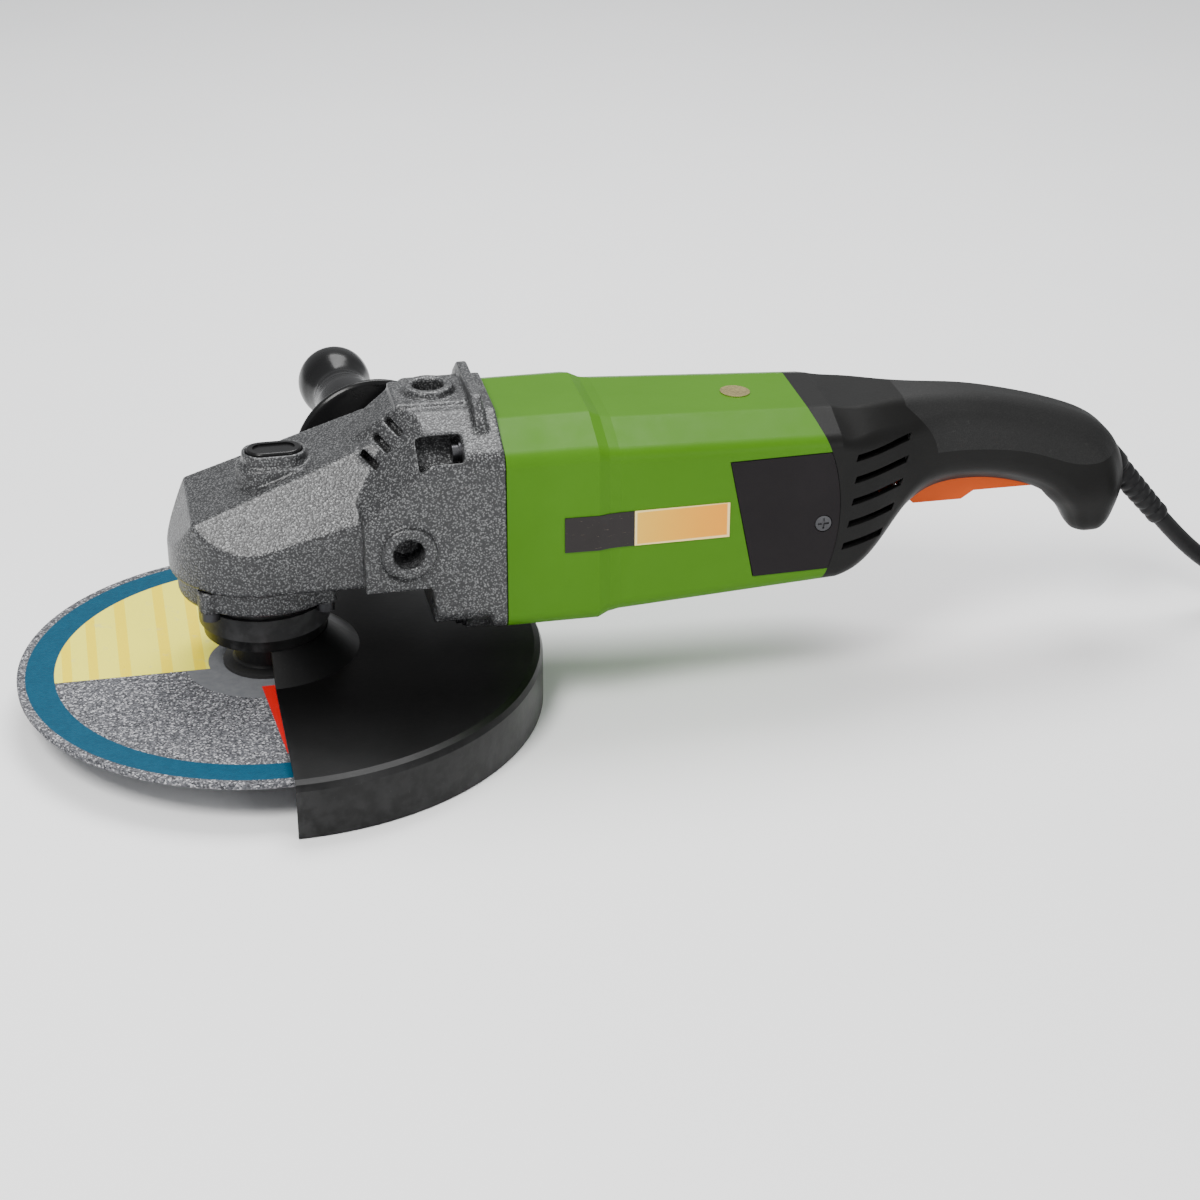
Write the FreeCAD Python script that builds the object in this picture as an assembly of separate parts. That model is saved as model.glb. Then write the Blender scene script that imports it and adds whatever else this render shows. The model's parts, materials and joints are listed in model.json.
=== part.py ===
"""Large two-handed angle grinder, modelled as it comes apart on a bench.

Millimetres. The spindle axis is Z, the motor axis runs along +X at AXIS_Z, and the
plane z = 0 is the lower edge of the wheel guard. The rear handle points along +X and
the side handle along +Y.
"""

import FreeCAD, Part
import math
import os

os.makedirs("parts", exist_ok=True)

# ---- clearances --------------------------------------------------------------------
FIT = 0.02            # radial gap of pieces pressed or seated in each other
RUN = 0.05            # radial gap of a running fit
FREE = 0.3            # gap between pieces that move past each other
SEAT = 0.05           # gap between stacked faces of fixed pieces

# ---- wheel, guard and spindle ------------------------------------------------------
DISC_R = 115.0
DISC_THICKNESS = 2.5
DISC_BORE_R = 11.12
DISC_TOP_Z = 20.5
GUARD_R = DISC_R + 13.5
GUARD_SHEET = 2.0
GUARD_TOP_Z = 27.0
GUARD_DOME_R = 52.0
SPINDLE_TIP_Z = 1.0
SPINDLE_THREAD_R = 7.0
THREAD_ENGAGED_R = 6.35
SPINDLE_SEAT_R = 7.5
SPINDLE_BEARING_R = 8.5
SPINDLE_GEAR_R = 8.0
SPINDLE_TOP_R = 5.0
CLAMP_NUT_R = 20.5
CLAMP_NUT_Z = 10.5
INNER_FLANGE_R = 20.5
INNER_FLANGE_HEIGHT = 13.0
INNER_HUB_R = 15.0
SPINDLE_COLLAR_R = 12.0
LOWER_BEARING_R = 17.5
LOWER_BEARING_Z = 43.0
LOWER_BEARING_WIDTH = 10.0
UPPER_BEARING_R = 9.0
UPPER_BEARING_Z = 104.0
UPPER_BEARING_WIDTH = 12.0

# ---- bearing box under the gear head -----------------------------------------------
NECK_R = 26.0
NECK_Z = 39.0
BOX_FLANGE_R = 38.5
BOX_FLANGE_Z = 61.0
HEAD_SEAM_Z = 73.0
BOX_SCREW_R = 2.5
BOX_SCREW_CIRCLE = 36.6
GEAR_CHAMBER_R = 33.0
SPIGOT_HEIGHT = 4.0
SEAM_GROOVE = 1.2

# ---- bevel gears -------------------------------------------------------------------
AXIS_Z = 92.0
GEAR_TEETH = 43
PINION_TEETH = 11
GEAR_MODULE = 1.4
GEAR_FACE = 7.0
PINION_BORE_R = 4.0
GEAR_BACKLASH = 0.14

# ---- gear head casting -------------------------------------------------------------
HEAD_NOSE_R = 42.0
HEAD_WALL = 5.0
BLOCK_X = 42.0
BLOCK_HALF_WIDTH = 48.5
FRONT_SEAM_X = 106.0
HEAD_TOP_Z = 147.0
HEAD_CHAMFER = (27.0, 13.0)
HEAD_LIP_Z = 118.5
BOSS_X = 61.6
BOSS_R = 12.5
BOSS_FACE = 51.5
HANDLE_THREAD_R = 7.0
HANDLE_THREAD_LENGTH = 16.0
TOP_BOSS_X = 79.0
TOP_BOSS_HEIGHT = 5.0
BULKHEAD_X = 46.0
FRONT_BEARING_X = 50.0
FRONT_BEARING_R = 17.5
FRONT_BEARING_WIDTH = 12.0
HOUSING_BOLT_R = 2.5
HOUSING_BOLT_Y = 34.0
HOUSING_BOLT_Z = 40.0
BOLT_RECESS_R = 9.4
BOLT_RECESS_LENGTH = 20.0

# ---- spindle lock ------------------------------------------------------------------
LOCK_X = 8.0
LOCK_Y = -5.5
LOCK_PIN_X = 10.0
LOCK_PIN_Y = -10.0
LOCK_PIN_R = 2.5
LOCK_PIN_END_Z = 84.2
LOCK_HOLES = 8
LOCK_SPRING_R = 3.1
LOCK_SPRING_SEAT_Z = 109.0
LOCK_TRAVEL = 5.0
BUTTON_LENGTH = 25.0
BUTTON_WIDTH = 15.0
BUTTON_HEIGHT = 7.5
BUTTON_TOP_Z = 129.5

# ---- motor -------------------------------------------------------------------------
SHAFT_R = 7.0
SHAFT_REAR_R = 5.0
SHAFT_FRONT_X = 11.5
SHAFT_END_X = 259.0
ROTOR_R = 24.0
ROTOR_X0 = 138.0
ROTOR_X1 = 200.0
AIR_GAP = 0.6
STATOR_R = 40.0
COMMUTATOR_R = 15.0
COMMUTATOR_X0 = 216.0
COMMUTATOR_X1 = 236.0
FAN_R = 40.0
FAN_X0 = 88.0
FAN_X1 = 104.0
REAR_BEARING_X = 245.0
REAR_BEARING_R = 13.0
REAR_BEARING_WIDTH = 9.0

# ---- motor housing -----------------------------------------------------------------
HOUSING_WALL = 3.0
FRONT_HALF_WIDTH = 49.0
FRONT_HALF_HEIGHT = 50.5
FRONT_CHAMFER = (25.0, 9.5)
REAR_HALF_WIDTH = 47.0
REAR_HALF_HEIGHT = 47.0
REAR_CHAMFER = (23.0, 8.5)
STEP_X0 = 148.0
STEP_X1 = 158.0
END_HALF_WIDTH = 43.0
END_HALF_HEIGHT = 42.5
END_CHAMFER = (22.0, 8.0)
REAR_SEAM_X = 262.0
REAR_SEAM_SAG = 15.0
EDGE_R = 7.0
NAMEPLATE_X0 = 132.0
NAMEPLATE_X1 = 209.0
BADGE_X = 222.0
BADGE_R = 7.0

# ---- rear handle -------------------------------------------------------------------
HANDLE_WALL = 3.0
GRIP_THICKNESS = 2.2
PARTING_Z = 101.0
TRIGGER_HALF_WIDTH = 8.5
TRIGGER_X0 = REAR_SEAM_X + 43.0
TRIGGER_X1 = REAR_SEAM_X + 115.0
TRIGGER_PIN_X = REAR_SEAM_X + 109.0
TRIGGER_PIN_Z = 88.0
TRIGGER_PIN_R = 2.0
TRIGGER_LOW_Z = 75.5
TRIGGER_HIGH_Z = 79.5
TRIGGER_WALL = 2.5
LOCK_OFF_X = REAR_SEAM_X + 37.0
LOCK_OFF_TRAVEL = 2.5
LOCK_OFF_SEAT_Z = 79.0
SWITCH_X0 = REAR_SEAM_X + 63.3
SWITCH_X1 = REAR_SEAM_X + 95.7
SWITCH_HALF_WIDTH = 9.0
SWITCH_LOW_Z = 97.3
SWITCH_TOP_Z = 115.7
PLUNGER_X = REAR_SEAM_X + 79.0
PLUNGER_R = 1.5
TRIGGER_SPRING_X = REAR_SEAM_X + 86.0

# ---- side handle -------------------------------------------------------------------
SIDE_FLANGE_R = 38.5
SIDE_GRIP_R = 17.5
SIDE_GRIP_LENGTH = 118.0
HANDLE_LEAN = 4.5

# ---- cord --------------------------------------------------------------------------
CORD_R = 4.3
BOOT_R0 = 7.0
BOOT_R1 = 5.7
BOOT_LENGTH = 47.0
CORD_SLOPE = math.radians(49.0)
CORD_ROOT_X = REAR_SEAM_X + 147.0
CORD_ROOT_Z = 88.5
COIL_X = REAR_SEAM_X + 274.0
COIL_R = 51.0
COIL_PITCH = 8.8
COIL_TURNS_IN_LAYER = 4.25


# ---- helpers -----------------------------------------------------------------------
def vec(x, y, z):
    return FreeCAD.Vector(x, y, z)


X_DIR = vec(1, 0, 0)
Y_DIR = vec(0, 1, 0)
Z_DIR = vec(0, 0, 1)


def block(x0, x1, y0, y1, z0, z1):
    """A plain box between two corners."""
    return Part.makeBox(x1 - x0, y1 - y0, z1 - z0, vec(x0, y0, z0))


def rod(radius, start, direction, length):
    """A solid cylinder."""
    return Part.makeCylinder(radius, length, start, direction)


def tube(outer, inner, start, direction, length):
    """A ring with a round hole, start to start + length."""
    body = rod(outer, start, direction, length)
    return body.cut(rod(inner, start, direction, length))


def turned(points, axis_point, axis, angle=360.0):
    """A turned piece about Z or X from (radius, station) points."""
    if axis == Z_DIR:
        corners = [axis_point + vec(r, 0, s) for r, s in points]
    else:
        corners = [axis_point + vec(s, 0, r) for r, s in points]
    wire = Part.makePolygon(corners + [corners[0]])
    solid = Part.Face(wire).revolve(axis_point, axis, angle)
    if solid.Volume < 0:
        solid.reverse()
    return solid


def on_spindle(points, angle=360.0):
    return turned(points, vec(0, 0, 0), Z_DIR, angle)


def on_motor(points):
    return turned(points, vec(0, 0, AXIS_Z), X_DIR)


def side_prism(points, y0, y1):
    """A prism along Y from (x, z) corners."""
    corners = [vec(x, y0, z) for x, z in points]
    face = Part.Face(Part.makePolygon(corners + [corners[0]]))
    return face.extrude(vec(0, y1 - y0, 0))


def half_space(point, normal, reach=400.0):
    """A large block that fills the side of a plane that its normal points to."""
    slab = Part.makeBox(2 * reach, 2 * reach, reach, vec(-reach, -reach, 0))
    turn = FreeCAD.Rotation(Z_DIR, normal)
    slab.Placement = FreeCAD.Placement(point, turn)
    return slab


def fuse(shapes):
    """One solid from overlapping ones."""
    body = shapes[0]
    if len(shapes) > 1:
        body = body.multiFuse(list(shapes[1:]))
    return body.removeSplitter()


def both_sides(shape):
    """The shape and its mirror across the middle plane y = 0."""
    return [shape, shape.mirror(vec(0, 0, 0), Y_DIR)]


def save(name, shapes):
    """Write one named piece, made of one or more separate solids."""
    solids = []
    for shape in shapes if isinstance(shapes, list) else [shapes]:
        solids += shape.Solids
    piece = solids[0] if len(solids) == 1 else Part.makeCompound(solids)
    piece.exportStep("parts/" + name + ".step")
    return piece


def octagon(x, half_y, z_low, z_high, chamfer, radius, tilt=0.0, inset=0.0):
    """A rounded eight-sided outline across the X direction, leaning by tilt degrees.

    chamfer is the (y, z) size of the sloping corner sides, and inset draws every side in.
    """
    cy, cz = chamfer
    slope = math.hypot(cy, cz)
    t = inset
    half_y, z_low, z_high = half_y - t, z_low + t, z_high - t
    cy, cz = cy - t + t * (slope - cy) / cz, cz - t + t * (slope - cz) / cy
    corners = [(-half_y, z_low + cz), (-half_y, z_high - cz), (-half_y + cy, z_high), (half_y - cy, z_high),
               (half_y, z_high - cz), (half_y, z_low + cz), (half_y - cy, z_low), (-half_y + cy, z_low)]
    edges = []
    count = len(corners)
    for i in range(count):
        before, here, after = corners[i - 1], corners[i], corners[(i + 1) % count]
        here_v = vec(x, here[0], here[1])
        back = (vec(x, before[0], before[1]) - here_v).normalize()
        ahead = (vec(x, after[0], after[1]) - here_v).normalize()
        half_turn = back.getAngle(ahead) / 2
        reach = radius / math.tan(half_turn)
        inward = (back + ahead).normalize()
        middle = here_v + inward * (radius / math.sin(half_turn) - radius)
        edges.append((here_v + back * reach, middle, here_v + ahead * reach))
    parts = []
    for i in range(count):
        start, middle, end = edges[i]
        parts.append(Part.Arc(start, middle, end).toShape())
        parts.append(Part.LineSegment(end, edges[(i + 1) % count][0]).toShape())
    wire = Part.Wire(parts)
    if tilt:
        wire.rotate(vec(x, 0, (z_low + z_high) / 2), Y_DIR, tilt)
    return wire


def loft(wires, ruled=False):
    return Part.makeLoft(wires, True, ruled)


# ---- spindle group -----------------------------------------------------------------
def cone_distance():
    """Distance from the apex to the outer end of the bevel pair's pitch cones."""
    return GEAR_MODULE / 2 * math.hypot(GEAR_TEETH, PINION_TEETH)


def gear_cone_angle():
    """Half angle of the large gear's pitch cone."""
    return math.atan2(GEAR_TEETH, PINION_TEETH)


def bevel_tooth(cone_angle, teeth, flanks, scale_end):
    """One straight bevel tooth about +Z with its apex at the origin and its cone opening down.

    flanks lists (height above the pitch line, half thickness) at the outer end, from the
    root to the tip; the inner end is the same shape scaled towards the apex.
    """
    distance = cone_distance()
    sin_a, cos_a = math.sin(cone_angle), math.cos(cone_angle)
    pitch = vec(distance * sin_a, 0, -distance * cos_a)
    outward = vec(cos_a, 0, sin_a)

    def ring(scale):
        right = [pitch + outward * h + vec(0, w, 0) for h, w in flanks]
        left = [pitch + outward * h - vec(0, w, 0) for h, w in reversed(flanks)]
        corners = [p * scale for p in right + left]
        return Part.makePolygon(corners + [corners[0]])

    return loft([ring(1.0), ring(scale_end)], True)


def make_bevel_gear(spindle_bore):
    """The large bevel gear, teeth up, apex on the motor axis."""
    distance, angle = cone_distance(), gear_cone_angle()
    scale_end = 1 - GEAR_FACE / distance
    half = math.pi * GEAR_MODULE / 4 - GEAR_BACKLASH / 2
    addendum = 0.62 * GEAR_MODULE
    dedendum = 1.45 * GEAR_MODULE
    slope = math.tan(math.radians(20))
    flanks = [(-dedendum - 0.4, half + (dedendum + 0.4) * slope), (addendum, half - addendum * slope)]
    tooth = bevel_tooth(angle, GEAR_TEETH, flanks, scale_end)
    teeth = []
    for i in range(GEAR_TEETH):
        one = tooth.copy()
        one.rotate(vec(0, 0, 0), Z_DIR, 360.0 * i / GEAR_TEETH)
        teeth.append(one)
    sin_a, cos_a = math.sin(angle), math.cos(angle)
    outer = (distance * sin_a - dedendum * cos_a, -distance * cos_a - dedendum * sin_a)
    inner = (outer[0] * scale_end, outer[1] * scale_end)
    hub_z = LOWER_BEARING_Z + LOWER_BEARING_WIDTH + 1.0 - AXIS_Z
    back_z = outer[1] - 6.0
    profile = [(spindle_bore, hub_z), (13.0, hub_z), (13.0, back_z), (outer[0] - 3.0, back_z),
               (outer[0], back_z + 3.0), outer, inner, (inner[0] - 2.0, inner[1] - 1.5),
               (10.8, inner[1] - 1.5), (10.8, inner[1] + 1.5), (spindle_bore, inner[1] + 1.5)]
    blank = on_spindle(profile)
    hole_circle = math.hypot(LOCK_PIN_X, LOCK_PIN_Y)
    holes = []
    start = math.degrees(math.atan2(LOCK_PIN_Y, LOCK_PIN_X))
    for i in range(LOCK_HOLES):
        a = math.radians(start + 360.0 * i / LOCK_HOLES)
        centre = vec(hole_circle * math.cos(a), hole_circle * math.sin(a), back_z + 1.0)
        holes.append(rod(LOCK_PIN_R + 0.6, centre, Z_DIR, 30.0))
    blank = blank.cut(Part.makeCompound(holes))
    gear = blank.multiFuse(teeth)
    gear.translate(vec(0, 0, AXIS_Z))
    return gear


def make_pinion(bore):
    """The small bevel pinion on the motor shaft, with a tooth gap over the gear's tooth."""
    distance = cone_distance()
    pinion_r = GEAR_MODULE * PINION_TEETH / 2
    pinion_angle = math.pi / 2 - gear_cone_angle()
    scale_end = 1 - (GEAR_FACE + 0.6) / distance
    base_r = pinion_r * math.cos(math.radians(20))
    involute = math.tan(math.radians(20)) - math.radians(20)
    half_angle = math.pi / (2 * PINION_TEETH) - GEAR_BACKLASH / 2 / pinion_r
    root, tip = 0.85 * GEAR_MODULE, 1.15 * GEAR_MODULE
    flanks = [(-root - 0.4, base_r * math.sin(half_angle + involute) * 0.86),
              (-root, base_r * math.sin(half_angle + involute) * 0.90)]
    steps = 5
    for i in range(steps + 1):
        r = base_r + 0.02 + (pinion_r + tip - base_r - 0.02) * i / steps
        roll = math.acos(min(1.0, base_r / r))
        turn = half_angle + involute - (math.tan(roll) - roll)
        flanks.append((r * math.cos(turn) - pinion_r, r * math.sin(turn)))
    tooth = bevel_tooth(pinion_angle, PINION_TEETH, flanks, scale_end)
    teeth = []
    for i in range(PINION_TEETH):
        one = tooth.copy()
        one.rotate(vec(0, 0, 0), Z_DIR, 360.0 * i / PINION_TEETH)
        teeth.append(one)
    sin_a, cos_a = math.sin(pinion_angle), math.cos(pinion_angle)
    outer = (distance * sin_a - root * cos_a, -distance * cos_a - root * sin_a)
    inner = (outer[0] * scale_end, outer[1] * scale_end)
    hub_end = -(FRONT_BEARING_X - 0.5)
    profile = [(bore, inner[1]), inner, outer, (outer[0] + 1.2, outer[1] - 1.4),
               (outer[0] + 1.2, -36.0), (9.0, -38.0), (9.0, hub_end), (bore, hub_end)]
    pinion = on_spindle(profile).multiFuse(teeth)
    pinion.rotate(vec(0, 0, 0), Y_DIR, -90.0)
    pinion.translate(vec(0, 0, AXIS_Z))
    return pinion


def spindle_group():
    flange_top = DISC_TOP_Z + INNER_FLANGE_HEIGHT
    bearing_top = LOWER_BEARING_Z + LOWER_BEARING_WIDTH
    step_z = AXIS_Z - 9.5
    top_z = UPPER_BEARING_Z + UPPER_BEARING_WIDTH - 0.5
    nut_top = DISC_TOP_Z - DISC_THICKNESS
    free_end = CLAMP_NUT_Z - 0.5
    seat_low = nut_top + 4 * SEAT
    profile = [(0, SPINDLE_TIP_Z), (SPINDLE_THREAD_R - 1, SPINDLE_TIP_Z),
               (SPINDLE_THREAD_R, SPINDLE_TIP_Z + 1),
               (SPINDLE_THREAD_R, free_end), (THREAD_ENGAGED_R, free_end), (THREAD_ENGAGED_R, seat_low),
               (SPINDLE_SEAT_R, seat_low), (SPINDLE_SEAT_R, flange_top), (SPINDLE_COLLAR_R, flange_top),
               (SPINDLE_COLLAR_R, LOWER_BEARING_Z - FREE), (SPINDLE_BEARING_R, LOWER_BEARING_Z - FREE),
               (SPINDLE_BEARING_R, bearing_top), (SPINDLE_GEAR_R, bearing_top), (SPINDLE_GEAR_R, step_z),
               (SPINDLE_TOP_R, step_z), (SPINDLE_TOP_R, top_z - 1), (SPINDLE_TOP_R - 1, top_z), (0, top_z)]
    save("spindle", on_spindle(profile))
    save("bevel_gear", make_bevel_gear(SPINDLE_GEAR_R + FIT))
    bore = SPINDLE_SEAT_R + FIT
    pilot_r = DISC_BORE_R - RUN
    flange = on_spindle([(bore, DISC_TOP_Z - 2.0), (pilot_r, DISC_TOP_Z - 2.0), (pilot_r, DISC_TOP_Z + 1.2),
                         (INNER_FLANGE_R - 5, DISC_TOP_Z + 1.2), (INNER_FLANGE_R - 5, DISC_TOP_Z),
                         (INNER_FLANGE_R, DISC_TOP_Z), (INNER_FLANGE_R, DISC_TOP_Z + 1.6),
                         (INNER_HUB_R + 1, DISC_TOP_Z + 3.0), (INNER_HUB_R, DISC_TOP_Z + 4.0),
                         (INNER_HUB_R, flange_top - 1.0), (INNER_HUB_R - 1, flange_top),
                         (bore, flange_top)])
    save("inner_flange", flange)
    disc = tube(DISC_R, DISC_BORE_R, vec(0, 0, DISC_TOP_Z - DISC_THICKNESS), Z_DIR, DISC_THICKNESS)
    save("cutting_disc", disc)
    bore = THREAD_ENGAGED_R + FIT
    nut = on_spindle([(bore, CLAMP_NUT_Z), (CLAMP_NUT_R - 7, CLAMP_NUT_Z),
                      (CLAMP_NUT_R - 6, CLAMP_NUT_Z + 1),
                      (CLAMP_NUT_R - 6, CLAMP_NUT_Z + 2.5), (CLAMP_NUT_R, CLAMP_NUT_Z + 2.5),
                      (CLAMP_NUT_R, nut_top), (CLAMP_NUT_R - 5, nut_top), (CLAMP_NUT_R - 5, nut_top - 1.2),
                      (bore, nut_top - 1.2)])
    spanner_holes = []
    for i in range(4):
        a = math.radians(45 + 90 * i)
        spanner_holes.append(rod(2.5, vec(17.0 * math.cos(a), 17.0 * math.sin(a), CLAMP_NUT_Z - 1), Z_DIR,
                                 6.0))
    save("clamp_nut", nut.cut(Part.makeCompound(spanner_holes)))


def bearing(name, inner, outer, width, start, axis):
    """A shielded ball bearing as one ring with a shallow groove in each face."""
    mid_in = inner + (outer - inner) * 0.28
    mid_out = inner + (outer - inner) * 0.72
    ring = tube(outer, inner, start, axis, width)
    groove_a = tube(mid_out, mid_in, start, axis, 0.6)
    groove_b = tube(mid_out, mid_in, start + axis * (width - 0.6), axis, 0.6)
    save(name, ring.cut(Part.makeCompound([groove_a, groove_b])))


# ---- bearing box and guard ---------------------------------------------------------
def box_screw_places():
    places = []
    for i in range(4):
        a = math.radians(45 + 90 * i)
        places.append((BOX_SCREW_CIRCLE * math.cos(a), BOX_SCREW_CIRCLE * math.sin(a)))
    return places


def bearing_box_group():
    bearing_top = LOWER_BEARING_Z + LOWER_BEARING_WIDTH
    spigot_r = GEAR_CHAMBER_R - 0.1
    seal_r = 15.5
    chamber_z = 64.0
    profile = [(seal_r + FIT, NECK_Z), (NECK_R - 1, NECK_Z), (NECK_R, NECK_Z + 1), (NECK_R, BOX_FLANGE_Z),
               (BOX_FLANGE_R - 1, BOX_FLANGE_Z), (BOX_FLANGE_R, BOX_FLANGE_Z + 1),
               (BOX_FLANGE_R, HEAD_SEAM_Z - SEAM_GROOVE),
               (BOX_FLANGE_R - SEAM_GROOVE, HEAD_SEAM_Z - SEAM_GROOVE),
               (BOX_FLANGE_R - SEAM_GROOVE, HEAD_SEAM_Z),
               (spigot_r, HEAD_SEAM_Z), (spigot_r, HEAD_SEAM_Z + SPIGOT_HEIGHT),
               (spigot_r - 3, HEAD_SEAM_Z + SPIGOT_HEIGHT), (spigot_r - 3, chamber_z), (22.0, chamber_z),
               (22.0, bearing_top), (LOWER_BEARING_R + FIT, bearing_top),
               (LOWER_BEARING_R + FIT, LOWER_BEARING_Z),
               (seal_r + FIT, LOWER_BEARING_Z)]
    body = on_spindle(profile)
    ear_height = HEAD_SEAM_Z - SEAM_GROOVE - BOX_FLANGE_Z
    ears = [rod(5.4, vec(x, y, BOX_FLANGE_Z), Z_DIR, ear_height) for x, y in box_screw_places()]
    inner = rod(spigot_r - 3, vec(0, 0, BOX_FLANGE_Z), Z_DIR, 30)
    ears = [ear.cut(inner) for ear in ears]
    body = fuse([body] + ears)
    holes = [rod(BOX_SCREW_R + FREE, vec(x, y, BOX_FLANGE_Z - 1), Z_DIR, 20) for x, y in box_screw_places()]
    save("bearing_box", body.cut(Part.makeCompound(holes)))
    screws = []
    for x, y in box_screw_places():
        head = rod(4.2, vec(x, y, BOX_FLANGE_Z - 4), Z_DIR, 4)
        socket = rod(2.0, vec(x, y, BOX_FLANGE_Z - 4.1), Z_DIR, 2.2)
        screws.append(fuse([head, rod(BOX_SCREW_R, vec(x, y, BOX_FLANGE_Z - 1), Z_DIR, 24)]).cut(socket))
    save("bearing_box_screws", screws)
    bearing("lower_spindle_bearing", SPINDLE_BEARING_R + RUN, LOWER_BEARING_R, LOWER_BEARING_WIDTH,
            vec(0, 0, LOWER_BEARING_Z), Z_DIR)
    retainer = tube(22.0 - FIT, 14.5, vec(0, 0, bearing_top + SEAT), Z_DIR, 2.5)
    save("bearing_retainer", retainer)
    seal = on_spindle([(SPINDLE_COLLAR_R + FREE, NECK_Z + 0.5), (seal_r, NECK_Z + 0.5),
                       (seal_r, LOWER_BEARING_Z - SEAT), (14.5, LOWER_BEARING_Z - SEAT),
                       (SPINDLE_COLLAR_R + FREE, LOWER_BEARING_Z - 1.5)])
    save("spindle_seal", seal)
    bearing("upper_spindle_bearing", SPINDLE_TOP_R + RUN, UPPER_BEARING_R, UPPER_BEARING_WIDTH,
            vec(0, 0, UPPER_BEARING_Z), Z_DIR)


def guard_group():
    """Pressed steel guard over the rear half of the wheel, with its collar and clamp band."""
    t = GUARD_SHEET
    collar_in = NECK_R + FREE
    collar_out = collar_in + t
    collar_low = NECK_Z - 0.5
    collar_top = BOX_FLANGE_Z - 4.5
    dome_low = GUARD_TOP_Z
    collar = tube(collar_out, collar_in, vec(0, 0, collar_low), Z_DIR, collar_top - collar_low)
    shell = on_spindle([(collar_in, collar_low), (collar_in, collar_low - 2),
                        (GUARD_DOME_R - 10, dome_low - t),
                        (GUARD_R - 4, dome_low - t), (GUARD_R - t, dome_low - t - 3), (GUARD_R - t, 0),
                        (GUARD_R, 0),
                        (GUARD_R, dome_low - 4), (GUARD_R - 1.2, dome_low - 1.2), (GUARD_R - 4, dome_low),
                        (GUARD_DOME_R - 9, dome_low), (collar_out + 0.6, collar_low)])
    shell = shell.common(block(0, 200, -200, 200, -1, 100))
    save("wheel_guard", fuse([collar, shell]))
    band_in = collar_out + 3 * SEAT
    band_out = band_in + 1.8
    band_low, band_top = collar_low + 6.0, collar_top - 1.5
    band = tube(band_out, band_in, vec(0, 0, band_low), Z_DIR, band_top - band_low)
    lug_angle = 128.0
    lug = block(band_in + 0.3, band_out + 11, -5.5, 5.5, band_low, band_top)
    band = fuse([band, lug])
    slit = block(0, 60, -1.5, 1.5, band_low - 1, band_top + 1)
    screw_x = band_out + 6.5
    screw_z = (band_low + band_top) / 2
    bore = rod(2.5 + FIT, vec(screw_x, -20, screw_z), Y_DIR, 40)
    band = band.cut(slit).cut(bore)
    shank = rod(2.5, vec(screw_x, -8.0, screw_z), Y_DIR, 16.5)
    head = rod(4.2, vec(screw_x, -9.5 - SEAT, screw_z), Y_DIR, 4.0)
    nut = rod(4.4, vec(screw_x, 5.5 + SEAT, screw_z), Y_DIR, 3.4)
    screw = fuse([shank, head, nut])
    for piece in (band, screw):
        piece.rotate(vec(0, 0, 0), Z_DIR, lug_angle)
    save("guard_band", band)
    save("guard_band_screw", screw)


# ---- gear head ---------------------------------------------------------------------
def nose_top(x):
    """Height of the sloping top face of the nose."""
    return HEAD_LIP_Z + 0.36 * (x - LOCK_X)


def leaned(shape):
    """Turns a far-side shape about the side handle's root, so that the handle leans forward."""
    turned_shape = shape.copy()
    turned_shape.rotate(vec(BOSS_X, BLOCK_HALF_WIDTH, AXIS_Z), Z_DIR, HANDLE_LEAN)
    return turned_shape


def side_boss(radius, depth, end=BOSS_FACE):
    """Round bosses or bores on both sides of the head, from end inwards by depth."""
    near = rod(radius, vec(BOSS_X, -end, AXIS_Z), Y_DIR, depth)
    far = rod(radius, vec(BOSS_X, end, AXIS_Z), vec(0, -1, 0), depth)
    return [near, leaned(far)]


def bolt_places():
    return [(y, AXIS_Z + z) for y in (-HOUSING_BOLT_Y, HOUSING_BOLT_Y) for z in (-HOUSING_BOLT_Z,
                                                                                 HOUSING_BOLT_Z)]


def bolt_recesses(grow):
    """Round recesses in the head's shoulders, in front of the bolt bosses, grown on every side."""
    recesses = []
    for y, z in bolt_places():
        side = 1 if y > 0 else -1
        start = vec(FRONT_SEAM_X - 18.0 - BOLT_RECESS_LENGTH - grow, y + side * 3.5, z)
        recesses.append(rod(BOLT_RECESS_R + grow, start, X_DIR, BOLT_RECESS_LENGTH + grow))
    return recesses


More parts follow.
